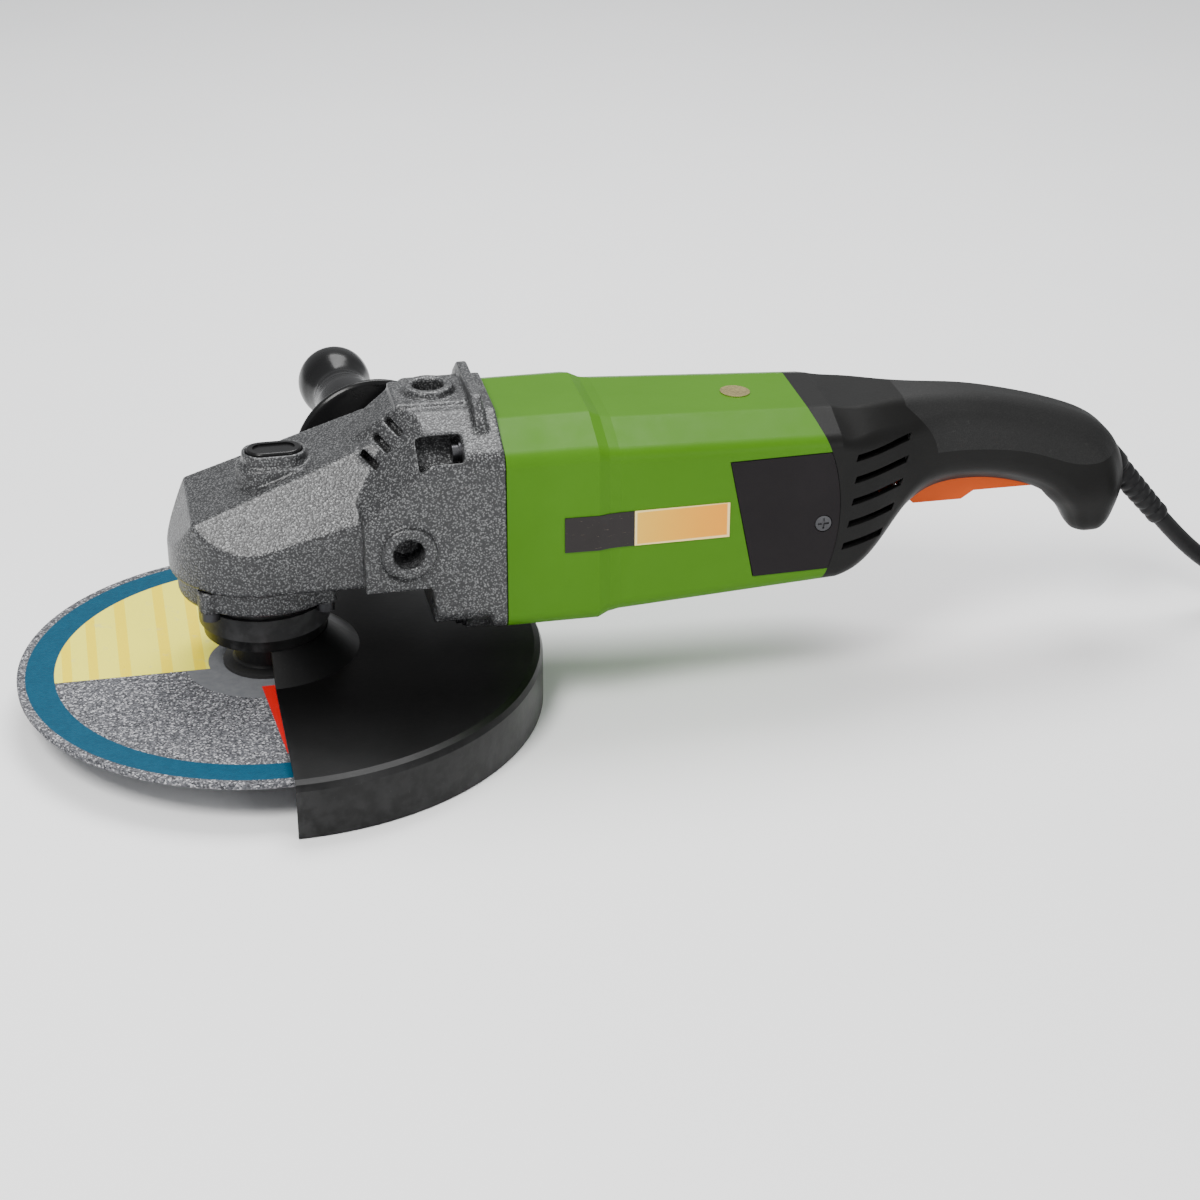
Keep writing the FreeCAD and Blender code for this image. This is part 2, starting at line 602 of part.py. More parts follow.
def head_outer():
    """Outside of the gear head: a sloping nose and a tall block behind it."""
    r = HEAD_NOSE_R
    plan = fuse([rod(r, vec(0, 0, HEAD_SEAM_Z), Z_DIR, 70),
                 block(0, BLOCK_X + 12, -r, r, HEAD_SEAM_Z, HEAD_SEAM_Z + 70)])
    profile = side_prism([(-r - 1, HEAD_SEAM_Z), (-r - 1, 90), (-r + 1.5, 94.5),
                          (-r + 6.5, nose_top(-r + 6.5)),
                          (BLOCK_X + 12, nose_top(BLOCK_X + 12)), (BLOCK_X + 12, HEAD_SEAM_Z)], -60, 60)
    nose = plan.common(profile)
    ridge = vec(30, -22.0, nose_top(30))
    low_front = vec(-18, -r, 89.0)
    low_rear = vec(38, -r, 103.5)
    normal = (low_rear - low_front).cross(ridge - low_front)
    if normal.z < 0:
        normal = normal * -1
    cut = half_space(low_front, normal)
    nose = nose.cut(cut).cut(cut.mirror(vec(0, 0, 0), Y_DIR))
    front_cut = half_space(vec(-r + 0.5, 0, 86), vec(-1, 0, 0.55).normalize())
    nose = nose.cut(front_cut)
    w = BLOCK_HALF_WIDTH
    low = AXIS_Z - FRONT_HALF_HEIGHT + 1
    rear = loft([octagon(x, w, low, HEAD_TOP_Z, HEAD_CHAMFER, EDGE_R) for x in (BLOCK_X - 14,
                                                                                FRONT_SEAM_X)], True)
    rear = rear.common(side_prism([(BLOCK_X, HEAD_SEAM_Z), (BLOCK_X, 112), (BLOCK_X - 13, 121.5),
                                   (BLOCK_X + 17, HEAD_TOP_Z - 3), (BLOCK_X + 22, HEAD_TOP_Z),
                                   (FRONT_SEAM_X, HEAD_TOP_Z),
                                   (FRONT_SEAM_X, low - 2), (BLOCK_X + 34, low - 2),
                                   (BLOCK_X + 30, HEAD_SEAM_Z)],
                                  -60, 60))
    corner, normal = shoulder_plane()
    shoulder = half_space(corner, normal)
    rear = rear.cut(shoulder).cut(shoulder.mirror(vec(0, 0, 0), Y_DIR))
    return fuse([nose, rear])


def shoulder_plane():
    """A point and the outward normal of the sloping front corner on the near side of the block."""
    low, top, side = vec(34, -8, 125), vec(64, -14, HEAD_TOP_Z), vec(50, -BLOCK_HALF_WIDTH, 112)
    return low, (side - low).cross(top - low).normalize()


def make_gear_housing():
    body = head_outer()
    # raised top plate, flange fin and the four bolt bosses
    plate = block(BLOCK_X + 20, FRONT_SEAM_X - 6, -15, 15, HEAD_TOP_Z - 10, HEAD_TOP_Z + 1.5)
    fin = octagon(FRONT_SEAM_X - 11, BLOCK_HALF_WIDTH + 0.5, AXIS_Z - 20, AXIS_Z + FRONT_HALF_HEIGHT + 11.0,
                  (28.0, 20.0), EDGE_R)
    fin = Part.Face(fin).extrude(vec(5, 0, 0)).common(block(60, 120, -34, 34, AXIS_Z + 36, 200))
    flange = Part.Face(housing_outline(FRONT_SEAM_X - 7, 0.0)).extrude(vec(7, 0, 0))
    bosses = []
    for y, z in bolt_places():
        bosses.append(rod(6.5, vec(FRONT_SEAM_X - 18, y, z), X_DIR, 18))
    bosses += side_boss(BOSS_R, BOSS_FACE - BLOCK_HALF_WIDTH + 14)
    bosses.append(rod(BOSS_R - 1, vec(TOP_BOSS_X, 0, HEAD_TOP_Z - 16), Z_DIR, 16 + TOP_BOSS_HEIGHT))
    body = fuse([body, plate, fin, flange] + bosses)
    for recess in bolt_recesses(0.0):
        body = body.cut(recess)
    # gear chamber
    gear_top = AXIS_Z - 3.0
    chamber = rod(GEAR_CHAMBER_R, vec(0, 0, HEAD_SEAM_Z - 1), Z_DIR, gear_top - HEAD_SEAM_Z + 1)
    roof = Part.makeCone(GEAR_CHAMBER_R - 3.0, 13.0, 17.0, vec(0, 0, gear_top), Z_DIR)
    chamber = fuse([chamber, roof])
    neck = rod(15.5, vec(10, 0, AXIS_Z), X_DIR, BULKHEAD_X - 10)
    chamber = fuse([chamber, neck])
    post = rod(UPPER_BEARING_R + 3.0, vec(0, 0, UPPER_BEARING_Z), Z_DIR, 20)
    chamber = chamber.cut(post)
    body = body.cut(chamber)
    # bearing seat and fan chamber
    body = body.cut(rod(FRONT_BEARING_R + FIT, vec(FRONT_BEARING_X, 0, AXIS_Z), X_DIR, 30))
    body = body.cut(rod(FRONT_BEARING_R - 3.5, vec(BULKHEAD_X - 2, 0, AXIS_Z), X_DIR, 20))
    wall = HEAD_WALL
    cavity_w, cavity_h = BLOCK_HALF_WIDTH - wall, FRONT_HALF_HEIGHT - wall - 1
    cavity = loft([octagon(x, cavity_w, AXIS_Z - cavity_h, AXIS_Z + cavity_h, FRONT_CHAMFER, EDGE_R - 3)
                   for x in (FRONT_BEARING_X + FRONT_BEARING_WIDTH + 4, FRONT_SEAM_X + 1)], True)
    tunnels = []
    for y, z in bolt_places():
        tunnels.append(rod(6.5, vec(FRONT_SEAM_X - 18, y, z), X_DIR, 20))
    tunnels += bolt_recesses(3.0)
    tunnels += side_boss(BOSS_R - 1.5, HANDLE_THREAD_LENGTH + 2)
    tunnels.append(rod(BOSS_R - 1, vec(TOP_BOSS_X, 0, HEAD_TOP_Z - 16), Z_DIR, 16 + TOP_BOSS_HEIGHT))
    cavity = cavity.cut(Part.makeCompound(tunnels))
    keep = side_prism([(BLOCK_X + 8, HEAD_SEAM_Z - 1), (BLOCK_X + 33, HEAD_SEAM_Z - 1),
                       (BLOCK_X + 38, HEAD_SEAM_Z - 30),
                       (FRONT_SEAM_X + 2, HEAD_SEAM_Z - 32), (FRONT_SEAM_X + 2, HEAD_TOP_Z - 7),
                       (BLOCK_X + 28, HEAD_TOP_Z - 7), (BLOCK_X + 22, HEAD_TOP_Z - 15)], -60, 60)
    cavity = cavity.common(keep.cut(block(0, BLOCK_X + 34, -60, 60, 30, HEAD_SEAM_Z + 4)))
    body = body.cut(cavity)
    # threaded sockets for the side handle
    for socket in side_boss(HANDLE_THREAD_R, HANDLE_THREAD_LENGTH + 1, BOSS_FACE + 1):
        body = body.cut(socket)
    body = body.cut(rod(HANDLE_THREAD_R, vec(TOP_BOSS_X, 0, HEAD_TOP_Z + TOP_BOSS_HEIGHT - 14), Z_DIR, 15))
    # bolt holes
    for y, z in bolt_places():
        body = body.cut(rod(HOUSING_BOLT_R + FIT, vec(FRONT_SEAM_X - 30, y, z), X_DIR, 40))
    for x, y in box_screw_places():
        body = body.cut(rod(BOX_SCREW_R + FIT, vec(x, y, HEAD_SEAM_Z - 1), Z_DIR, 13))
    # air outlets through the sloping shoulders
    normal = shoulder_plane()[1]
    along = vec(0.39, -0.9, -0.26)
    turn = FreeCAD.Rotation(along, normal.cross(along), normal, "ZXY")
    for i in range(3):
        slot = block(-7.0, 7.0, -1.5, 1.5, -7.0, 3.0)
        slot.Placement = FreeCAD.Placement(vec(48.5 + 5.6 * i, -22.9 + 2.0 * i, 127.6 + 6.8 * i), turn)
        body = body.cut(slot).cut(slot.mirror(vec(0, 0, 0), Y_DIR))
    # lock button seat, spring seat and pin bore
    pocket_low = BUTTON_TOP_Z - BUTTON_HEIGHT - LOCK_TRAVEL
    ring = button_outline(BUTTON_LENGTH / 2 + 2.2, BUTTON_WIDTH / 2 + 2.2, HEAD_LIP_Z - 9,
                          BUTTON_TOP_Z - 1.0)
    base = button_outline(BUTTON_LENGTH / 2 + 5.0, BUTTON_WIDTH / 2 + 5.0, HEAD_LIP_Z - 9, HEAD_LIP_Z + 4.5)
    pocket = button_outline(BUTTON_LENGTH / 2 + FREE, BUTTON_WIDTH / 2 + FREE, pocket_low, HEAD_LIP_Z + 40)
    body = fuse([body, base, ring]).cut(pocket)
    pin_place = vec(LOCK_PIN_X, LOCK_PIN_Y, LOCK_SPRING_SEAT_Z)
    body = body.cut(rod(LOCK_SPRING_R + 4 * SEAT, pin_place, Z_DIR, pocket_low - LOCK_SPRING_SEAT_Z + 1))
    body = body.cut(rod(LOCK_PIN_R + RUN, vec(LOCK_PIN_X, LOCK_PIN_Y, AXIS_Z), Z_DIR, 60))
    bearing_bore = rod(UPPER_BEARING_R + FIT, vec(0, 0, UPPER_BEARING_Z - 8), Z_DIR,
                       UPPER_BEARING_WIDTH + 8)
    return body.cut(bearing_bore)


def button_outline(half_length, half_width, z0, z1):
    """A stadium block round the lock button."""
    straight = half_length - half_width
    shapes = [rod(half_width, vec(LOCK_X - straight, LOCK_Y, z0), Z_DIR, z1 - z0),
              rod(half_width, vec(LOCK_X + straight, LOCK_Y, z0), Z_DIR, z1 - z0),
              block(LOCK_X - straight, LOCK_X + straight, LOCK_Y - half_width, LOCK_Y + half_width, z0, z1)]
    return fuse(shapes)


def head_group():
    save("gear_housing", make_gear_housing())
    bolts = []
    for y, z in bolt_places():
        head = rod(4.3, vec(FRONT_SEAM_X - 22 - SEAT, y, z), X_DIR, 4)
        washer = rod(5.4, vec(FRONT_SEAM_X - 19 - SEAT, y, z), X_DIR, 1)
        shank = rod(HOUSING_BOLT_R, vec(FRONT_SEAM_X - 19, y, z), X_DIR, 36)
        cross = block(FRONT_SEAM_X - 23, FRONT_SEAM_X - 20.5, y - 2.4, y + 2.4, z - 0.5, z + 0.5)
        bolts.append(fuse([head, washer, shank]).cut(cross))
    save("housing_bolts", bolts)
    low = BUTTON_TOP_Z - BUTTON_HEIGHT
    cap = button_outline(BUTTON_LENGTH / 2, BUTTON_WIDTH / 2, low, BUTTON_TOP_Z)
    rim = [edge for edge in cap.Edges if edge.BoundBox.ZMin > BUTTON_TOP_Z - 0.01]
    cap = cap.makeFillet(1.2, rim)
    cap = cap.cut(button_outline(BUTTON_LENGTH / 2 - 3.0, BUTTON_WIDTH / 2 - 3.0, BUTTON_TOP_Z - 0.8,
                                 BUTTON_TOP_Z + 5))
    save("lock_button", cap)
    pin_length = low - SEAT - LOCK_PIN_END_Z
    save("lock_pin", rod(LOCK_PIN_R, vec(LOCK_PIN_X, LOCK_PIN_Y, LOCK_PIN_END_Z), Z_DIR, pin_length))
    spring_low = vec(LOCK_PIN_X, LOCK_PIN_Y, LOCK_SPRING_SEAT_Z + SEAT)
    spring_length = low - LOCK_SPRING_SEAT_Z - 2 * SEAT
    save("lock_spring", tube(LOCK_SPRING_R, LOCK_PIN_R + 3 * SEAT, spring_low, Z_DIR, spring_length))


# ---- armature ----------------------------------------------------------------------
def armature_group():
    r = SHAFT_R
    nut_x0, nut_x1 = SHAFT_FRONT_X + 1.5, SHAFT_FRONT_X + 7.5
    bearing_end = FRONT_BEARING_X + FRONT_BEARING_WIDTH
    nose_r = PINION_BORE_R
    shaft = on_motor([(0, SHAFT_FRONT_X), (nose_r - 0.5, SHAFT_FRONT_X), (nose_r, SHAFT_FRONT_X + 0.5),
                      (nose_r, FRONT_BEARING_X - 0.5), (r + 0.5, FRONT_BEARING_X - 0.5),
                      (r + 0.5, bearing_end + 0.5), (r, bearing_end + 0.5), (r, COMMUTATOR_X1 + 2),
                      (SHAFT_REAR_R, COMMUTATOR_X1 + 2), (SHAFT_REAR_R, SHAFT_END_X), (0, SHAFT_END_X)])
    save("armature_shaft", shaft)
    hexagon = []
    for i in range(6):
        a = math.radians(60 * i)
        hexagon.append(vec(nut_x0, 6.4 * math.cos(a), AXIS_Z + 6.4 * math.sin(a)))
    nut = Part.Face(Part.makePolygon(hexagon + [hexagon[0]])).extrude(vec(nut_x1 - nut_x0, 0, 0))
    save("pinion_nut", nut.cut(rod(PINION_BORE_R + FIT, vec(0, 0, AXIS_Z), X_DIR, 60)))
    save("pinion", make_pinion(PINION_BORE_R + FIT))
    core = tube(ROTOR_R, r + FIT, vec(ROTOR_X0, 0, AXIS_Z), X_DIR, ROTOR_X1 - ROTOR_X0)
    slots = []
    slot_count = 12
    for i in range(slot_count):
        slot = block(ROTOR_X0 - 1, ROTOR_X1 + 1, -1.0, 1.0, 17.0, ROTOR_R + 1)
        pocket = rod(2.8, vec(ROTOR_X0 - 1, 0, 18.5), X_DIR, ROTOR_X1 - ROTOR_X0 + 2)
        cut = fuse([slot, pocket])
        cut.rotate(vec(0, 0, 0), X_DIR, 360.0 * i / slot_count)
        cut.translate(vec(0, 0, AXIS_Z))
        slots.append(cut)
    save("armature_core", core.cut(Part.makeCompound(slots)))
    front = on_motor([(r + FIT, ROTOR_X0 - 14), (15, ROTOR_X0 - 14), (20, ROTOR_X0 - 10),
                      (21.5, ROTOR_X0 - 5),
                      (21.5, ROTOR_X0 - SEAT), (r + FIT, ROTOR_X0 - SEAT)])
    rear = on_motor([(r + FIT, ROTOR_X1 + SEAT), (21.5, ROTOR_X1 + SEAT), (21.5, ROTOR_X1 + 5),
                     (19, ROTOR_X1 + 10),
                     (14, COMMUTATOR_X0 - SEAT), (r + FIT, COMMUTATOR_X0 - SEAT)])
    bars = []
    for i in range(slot_count):
        bar = rod(2.5, vec(ROTOR_X0 - SEAT, 0, 18.5), X_DIR, ROTOR_X1 - ROTOR_X0 + 2 * SEAT)
        bar.rotate(vec(0, 0, 0), X_DIR, 360.0 * i / slot_count)
        bar.translate(vec(0, 0, AXIS_Z))
        bars.append(bar)
    save("armature_windings", fuse([front, rear] + bars))
    comm = tube(COMMUTATOR_R, r + FIT, vec(COMMUTATOR_X0, 0, AXIS_Z), X_DIR, COMMUTATOR_X1 - COMMUTATOR_X0)
    riser = tube(COMMUTATOR_R + 1.5, COMMUTATOR_R - 1, vec(COMMUTATOR_X0, 0, AXIS_Z), X_DIR, 3)
    grooves = []
    for i in range(24):
        groove = block(COMMUTATOR_X0 + 4, COMMUTATOR_X1 + 1, -0.35, 0.35, COMMUTATOR_R - 1.2,
                       COMMUTATOR_R + 1)
        groove.rotate(vec(0, 0, 0), X_DIR, 15.0 * i)
        groove.translate(vec(0, 0, AXIS_Z))
        grooves.append(groove)
    save("commutator", fuse([comm, riser]).cut(Part.makeCompound(grooves)))
    plate = on_motor([(r + FIT, FAN_X0), (12, FAN_X0), (12, FAN_X0 + 6), (20, FAN_X1 - 5),
                      (FAN_R, FAN_X1 - 2.5),
                      (FAN_R, FAN_X1), (r + FIT, FAN_X1)])
    blades = []
    blade_count = 12
    for i in range(blade_count):
        blade = block(FAN_X0, FAN_X1 - 1, -0.9, 0.9, 18, FAN_R - 0.5)
        blade.rotate(vec(0, 0, 24), X_DIR, 22.0)
        blade.rotate(vec(0, 0, 0), X_DIR, 360.0 * i / blade_count)
        blade.translate(vec(0, 0, AXIS_Z))
        blades.append(blade)
    save("fan", fuse([plate] + blades))
    bearing("front_motor_bearing", r + 0.5 + RUN, FRONT_BEARING_R, FRONT_BEARING_WIDTH,
            vec(FRONT_BEARING_X, 0, AXIS_Z), X_DIR)
    bearing("rear_motor_bearing", SHAFT_REAR_R + RUN, REAR_BEARING_R, REAR_BEARING_WIDTH,
            vec(REAR_BEARING_X, 0, AXIS_Z), X_DIR)
    bush = tube(REAR_BEARING_R + 2.5, REAR_BEARING_R + FIT, vec(REAR_BEARING_X - 0.5, 0, AXIS_Z), X_DIR,
                REAR_BEARING_WIDTH + 0.5)
    save("rear_bearing_bush", bush)


# ---- motor housing -----------------------------------------------------------------
def mix(a, b, share):
    return a + (b - a) * share


def housing_outline(x, inset):
    """Outline of the motor housing at station x, drawn in by inset."""
    front = (FRONT_HALF_WIDTH, FRONT_HALF_HEIGHT) + FRONT_CHAMFER
    rear = (REAR_HALF_WIDTH, REAR_HALF_HEIGHT) + REAR_CHAMFER
    end = (END_HALF_WIDTH, END_HALF_HEIGHT) + END_CHAMFER
    if x <= STEP_X0:
        sizes = front
    elif x < STEP_X1:
        share = (x - STEP_X0) / (STEP_X1 - STEP_X0)
        sizes = [mix(a, b, math.sin(share * math.pi / 2)) for a, b in zip(front, rear)]
    else:
        share = (x - STEP_X1) / (REAR_SEAM_X - STEP_X1)
        sizes = [mix(a, b, share) for a, b in zip(rear, end)]
    half_w, half_h, cy, cz = sizes
    return octagon(x, half_w, AXIS_Z - half_h, AXIS_Z + half_h, (cy, cz), max(1.0, EDGE_R - 0.6 * inset),
                   0.0, inset)


def housing_solid(inset, x0, x1):
    """The motor housing's full outside, or that outside drawn in by its wall."""
    middle = (STEP_X0 + STEP_X1) / 2
    stations = [(x0, STEP_X0), (STEP_X0, middle, STEP_X1), (STEP_X1, x1)]
    front, waist, rear = [loft([housing_outline(x, inset) for x in group], True) for group in stations]
    return front.multiFuse([waist, rear])


def rear_region(gap):
    """Everything behind the bowed rear seam of the motor housing."""
    top, bottom = AXIS_Z + 70, AXIS_Z - 70
    bow = REAR_SEAM_SAG * (70.0 / 46.0) ** 2
    edge = Part.Arc(vec(REAR_SEAM_X - bow + gap, -80, top), vec(REAR_SEAM_X + gap, -80, AXIS_Z),
                    vec(REAR_SEAM_X - bow + gap, -80, bottom)).toShape()
    far = [vec(REAR_SEAM_X - bow + gap, -80, bottom), vec(500, -80, bottom), vec(500, -80, top),
           vec(REAR_SEAM_X - bow + gap, -80, top)]
    lines = [Part.LineSegment(far[i], far[i + 1]).toShape() for i in range(3)]
    return Part.Face(Part.Wire([edge] + lines)).extrude(vec(0, 160, 0))


def brush_frame(side):
    """Placement of a brush unit on the +Y or -Y side of the commutator."""
    return vec((COMMUTATOR_X0 + COMMUTATOR_X1) / 2 + 1.5, side * (COMMUTATOR_R + 0.3), AXIS_Z)


def motor_group():
    outer = housing_solid(0.0, FRONT_SEAM_X + SEAT, REAR_SEAM_X)
    inner = housing_solid(HOUSING_WALL, FRONT_SEAM_X - 1, REAR_SEAM_X + 1)
    body = outer.cut(inner).cut(rear_region(0.0))
    bosses = []
    for y, z in bolt_places():
        bosses.append(rod(6.0, vec(FRONT_SEAM_X + SEAT, y, z), X_DIR, 24).common(outer))
    saddle = tube(STATOR_R + 6.0, STATOR_R + FIT, vec(ROTOR_X0 - 4, 0, AXIS_Z), X_DIR,
                  ROTOR_X1 - ROTOR_X0 + 8)
    body = fuse([body, saddle.common(outer)] + bosses)
    for y, z in bolt_places():
        body = body.cut(rod(HOUSING_BOLT_R + FIT, vec(FRONT_SEAM_X - 1, y, z), X_DIR, 21))
    # bridge with the rear bearing seat
    bridge = tube(STATOR_R + 6.0, REAR_BEARING_R + 2.5 + FIT, vec(REAR_BEARING_X - 1, 0, AXIS_Z), X_DIR,
                  3.0)
    seat = tube(REAR_BEARING_R + 5.5, REAR_BEARING_R + 2.5 + FIT, vec(REAR_BEARING_X - 1, 0, AXIS_Z), X_DIR,
                10.5)
    air = []
    for i in range(8):
        hole = rod(6.5, vec(REAR_BEARING_X - 5, 0, AXIS_Z + 29), X_DIR, 12)
        hole.rotate(vec(0, 0, AXIS_Z), X_DIR, 45.0 * i)
        air.append(hole)
    bridge = bridge.common(outer).cut(Part.makeCompound(air))
    bridge = fuse([bridge, seat])
    body = fuse([body, bridge])
    # side windows for the brush covers
    for window in both_sides(cover_plan(-60, -39.0, FREE)):
        body = body.cut(window)
    save("motor_housing", body)
    # stator and coils
    core = tube(STATOR_R, ROTOR_R + AIR_GAP, vec(ROTOR_X0, 0, AXIS_Z), X_DIR, ROTOR_X1 - ROTOR_X0)
    window = tube(STATOR_R - 6, ROTOR_R + AIR_GAP + 1.5, vec(ROTOR_X0 - 1, 0, AXIS_Z), X_DIR,
                  ROTOR_X1 - ROTOR_X0 + 2)
    sector = plan_sector(38.0, 142.0)
    windows = [window.common(sector), window.common(sector.mirror(vec(0, 0, 0), Y_DIR))]
    save("stator_core", core.cut(Part.makeCompound(windows)))
    coils = []
    for side in (1, -1):
        ring = tube(STATOR_R - 7, ROTOR_R + AIR_GAP + 2.5, vec(ROTOR_X0 - 12, 0, AXIS_Z), X_DIR,
                    ROTOR_X1 - ROTOR_X0 + 24)
        span = ring.common(wedge(side, 84.0))
        hole = tube(STATOR_R, ROTOR_R, vec(ROTOR_X0 - 3, 0, AXIS_Z), X_DIR, ROTOR_X1 - ROTOR_X0 + 6)
        coils.append(span.cut(hole.common(wedge(side, 54.0))))
    save("field_coils", coils)
    rim = FRONT_HALF_WIDTH - HOUSING_WALL - FIT
    baffle = on_motor([(FAN_R - 8, FRONT_SEAM_X + 4), (rim, FRONT_SEAM_X + 4), (rim, FRONT_SEAM_X + 16),
                       (rim - 2, FRONT_SEAM_X + 16), (rim - 2, FRONT_SEAM_X + 6),
                       (FAN_R - 8, FRONT_SEAM_X + 6)])
    for y, z in bolt_places():
        baffle = baffle.cut(rod(6.5, vec(FRONT_SEAM_X, y, z), X_DIR, 30))
    save("fan_baffle", baffle)
    brush_units()
    covers()


def plan_sector(a0, a1):
    """A wedge along X between two angles from +Z, on the +Y side."""
    reach = 80.0
    corners = [vec(0, 0, AXIS_Z)]
    for i in range(5):
        a = math.radians(a0 + (a1 - a0) * i / 4)
        corners.append(vec(0, reach * math.sin(a), AXIS_Z + reach * math.cos(a)))
    face = Part.Face(Part.makePolygon(corners + [corners[0]]))
    return face.extrude(vec(400, 0, 0))


def wedge(side, half_angle):
    """A wedge along X about +Z or -Z."""
    reach = 80.0
    corners = [vec(0, 0, AXIS_Z)]
    for i in range(7):
        a = math.radians(-half_angle + 2 * half_angle * i / 6)
        corners.append(vec(0, reach * math.sin(a), AXIS_Z + side * reach * math.cos(a)))
    face = Part.Face(Part.makePolygon(corners + [corners[0]]))
    return face.extrude(vec(400, 0, 0))


def brush_units():
    holders, brushes, springs = [], [], []
    for side in (-1, 1):
        p = brush_frame(side)
        x, y, z = p.x, p.y, p.z
        y_far = side * 34.0
        lo, hi = sorted((y + side * 3.0, y_far))
        shell = block(x - 6.0, x + 6.0, lo, hi, z - 8.5, z + 8.5)
        bore = block(x - 4.1, x + 4.1, lo - 1, hi + 1, z - 6.6, z + 6.6)
        foot_lo, foot_hi = sorted((y_far, side * 31.0))
        foot = block(x - 6.0, x + 6.0, foot_lo, foot_hi, z - 24, z + 24).cut(bore)
        holders.append(fuse([shell.cut(bore), foot]))
        lo, hi = sorted((y, y + side * 11.0))
        brushes.append(block(x - 4.0, x + 4.0, lo, hi, z - 6.5, z + 6.5))
        start = y + side * (11.0 + SEAT)
        springs.append(tube(3.4, 2.6, vec(x, start, z), vec(0, side, 0), abs(y_far - start)))
    save("brush_holders", holders)
    save("carbon_brushes", brushes)
    save("brush_springs", springs)


def cover_plan(y0, y1, gap):
    """Side outline of a brush cover as a prism across the housing's side."""
    g = gap
    return side_prism([(209 - g, 121.0 + g), (REAR_SEAM_X + 6, 121.0 + g), (REAR_SEAM_X + 6, 63.0 - g),
                       (221 - g, 63.0 - g)], y0, y1)


def covers():
    """Screwed side covers over the brushes, flush with the motor housing."""
    outer = housing_solid(-0.4, FRONT_SEAM_X, REAR_SEAM_X)
    inner = housing_solid(HOUSING_WALL, FRONT_SEAM_X - 1, REAR_SEAM_X + 1)
    skin = outer.cut(inner).cut(rear_region(-FREE))
    screws = []
    for side, name in ((-1, "brush_cover_near"), (1, "brush_cover_far")):
        y0, y1 = (-60, -39.3) if side < 0 else (39.3, 60)
        cover = skin.common(cover_plan(y0, y1, 0.0))
        screw_x, screw_z = REAR_SEAM_X - 8.0, AXIS_Z - 6.0
        y_face = side * (END_HALF_WIDTH + 0.8)
        hole = rod(4.2, vec(screw_x, side * (END_HALF_WIDTH - 1.4), screw_z), vec(0, side, 0), 8)
        bore = rod(2.0 + FIT, vec(screw_x, side * 30, screw_z), vec(0, side, 0), 20)
        cover = cover.cut(hole).cut(bore)
        save(name, cover)
        head = rod(3.8, vec(screw_x, side * (END_HALF_WIDTH - 1.35), screw_z), vec(0, side, 0), 1.9)
        shank = rod(2.0, vec(screw_x, side * 33.0, screw_z), vec(0, side, 0), END_HALF_WIDTH - 33.5)
        lo, hi = sorted((side * (END_HALF_WIDTH - 0.2), y_face + side * 2))
        slot_a = block(screw_x - 2.6, screw_x + 2.6, lo, hi, screw_z - 0.5, screw_z + 0.5)
        slot_b = block(screw_x - 0.5, screw_x + 0.5, lo, hi, screw_z - 2.6, screw_z + 2.6)
        screws.append(fuse([head, shank]).cut(slot_a).cut(slot_b))
    save("brush_cover_screws", screws)


# ---- rear cover and handle ---------------------------------------------------------
def handle_sections(inset):
    """Cross sections from the rear seam to the hooked end, drawn in by inset."""
    # distance behind the seam, centre z, half width, half height, lean, (chamfer y, z), corner radius
    stations = [(15.0, 93.3, 38.5, 39.5, 0, (19.0, 9.5), 8.0),
                (29.0, 98.5, 31.0, 33.8, 0, (15.5, 11.0), 10.0),
                (41.0, 103.5, 24.5, 28.4, 1, (12.5, 11.5), 11.0),
                (53.0, 106.8, 20.5, 24.6, 3, (10.5, 10.5), 12.0),
                (70.0, 107.6, 18.5, 22.2, 5, (9.5, 9.5), 11.5),
                (92.0, 104.3, 17.5, 20.8, 12, (9.0, 9.0), 11.0),
                (113.0, 98.0, 17.5, 20.8, 23, (9.0, 9.0), 11.0),
                (129.0, 88.5, 17.5, 21.5, 46, (9.0, 9.0), 11.0),
                (136.6, 74.0, 16.0, 18.5, 72, (8.5, 8.5), 10.0),
                (138.4, 61.0, 12.0, 13.0, 87, (6.5, 6.5), 8.0)]
    if inset == 0:
        stations += [(138.8, 54.5, 9.5, 10.0, 89, (5.2, 5.2), 6.5),
                     (139.0, 51.3, 5.5, 6.0, 90, (3.0, 3.0), 3.8)]
    wires = [housing_outline(REAR_SEAM_X, inset)]
    for back, z, half_w, half_h, lean, chamfer, corner in stations:
        x = REAR_SEAM_X + back
        wires.append(octagon(x, half_w, z - half_h, z + half_h, chamfer, corner - 0.6 * inset, lean, inset))
    return wires


def handle_solid(inset):
    """The cover and handle as one full shape, drawn in by inset."""
    wires = handle_sections(inset)
    front = loft([housing_outline(REAR_SEAM_X - 22.0, inset), wires[0]], True)
    return front.fuse(loft(wires, False))


def cover_region():
    """Side outline of the rear cover, in front of the grip's curved seam."""
    seam = Part.BSplineCurve()
    x = REAR_SEAM_X
    seam.interpolate([vec(x + 22, -80, 150), vec(x + 35, -80, 132), vec(x + 48, -80, 119),
                      vec(x + 54, -80, 104),
                      vec(x + 48, -80, 85), vec(x + 44, -80, 40)])
    corners = [vec(x + 44, -80, 40), vec(x - 62, -80, 40), vec(x - 62, -80, 150), vec(x + 22, -80, 150)]
    lines = [Part.LineSegment(a, b).toShape() for a, b in zip(corners, corners[1:])]
    return Part.Face(Part.Wire([seam.toShape()] + lines)).extrude(vec(0, 160, 0))


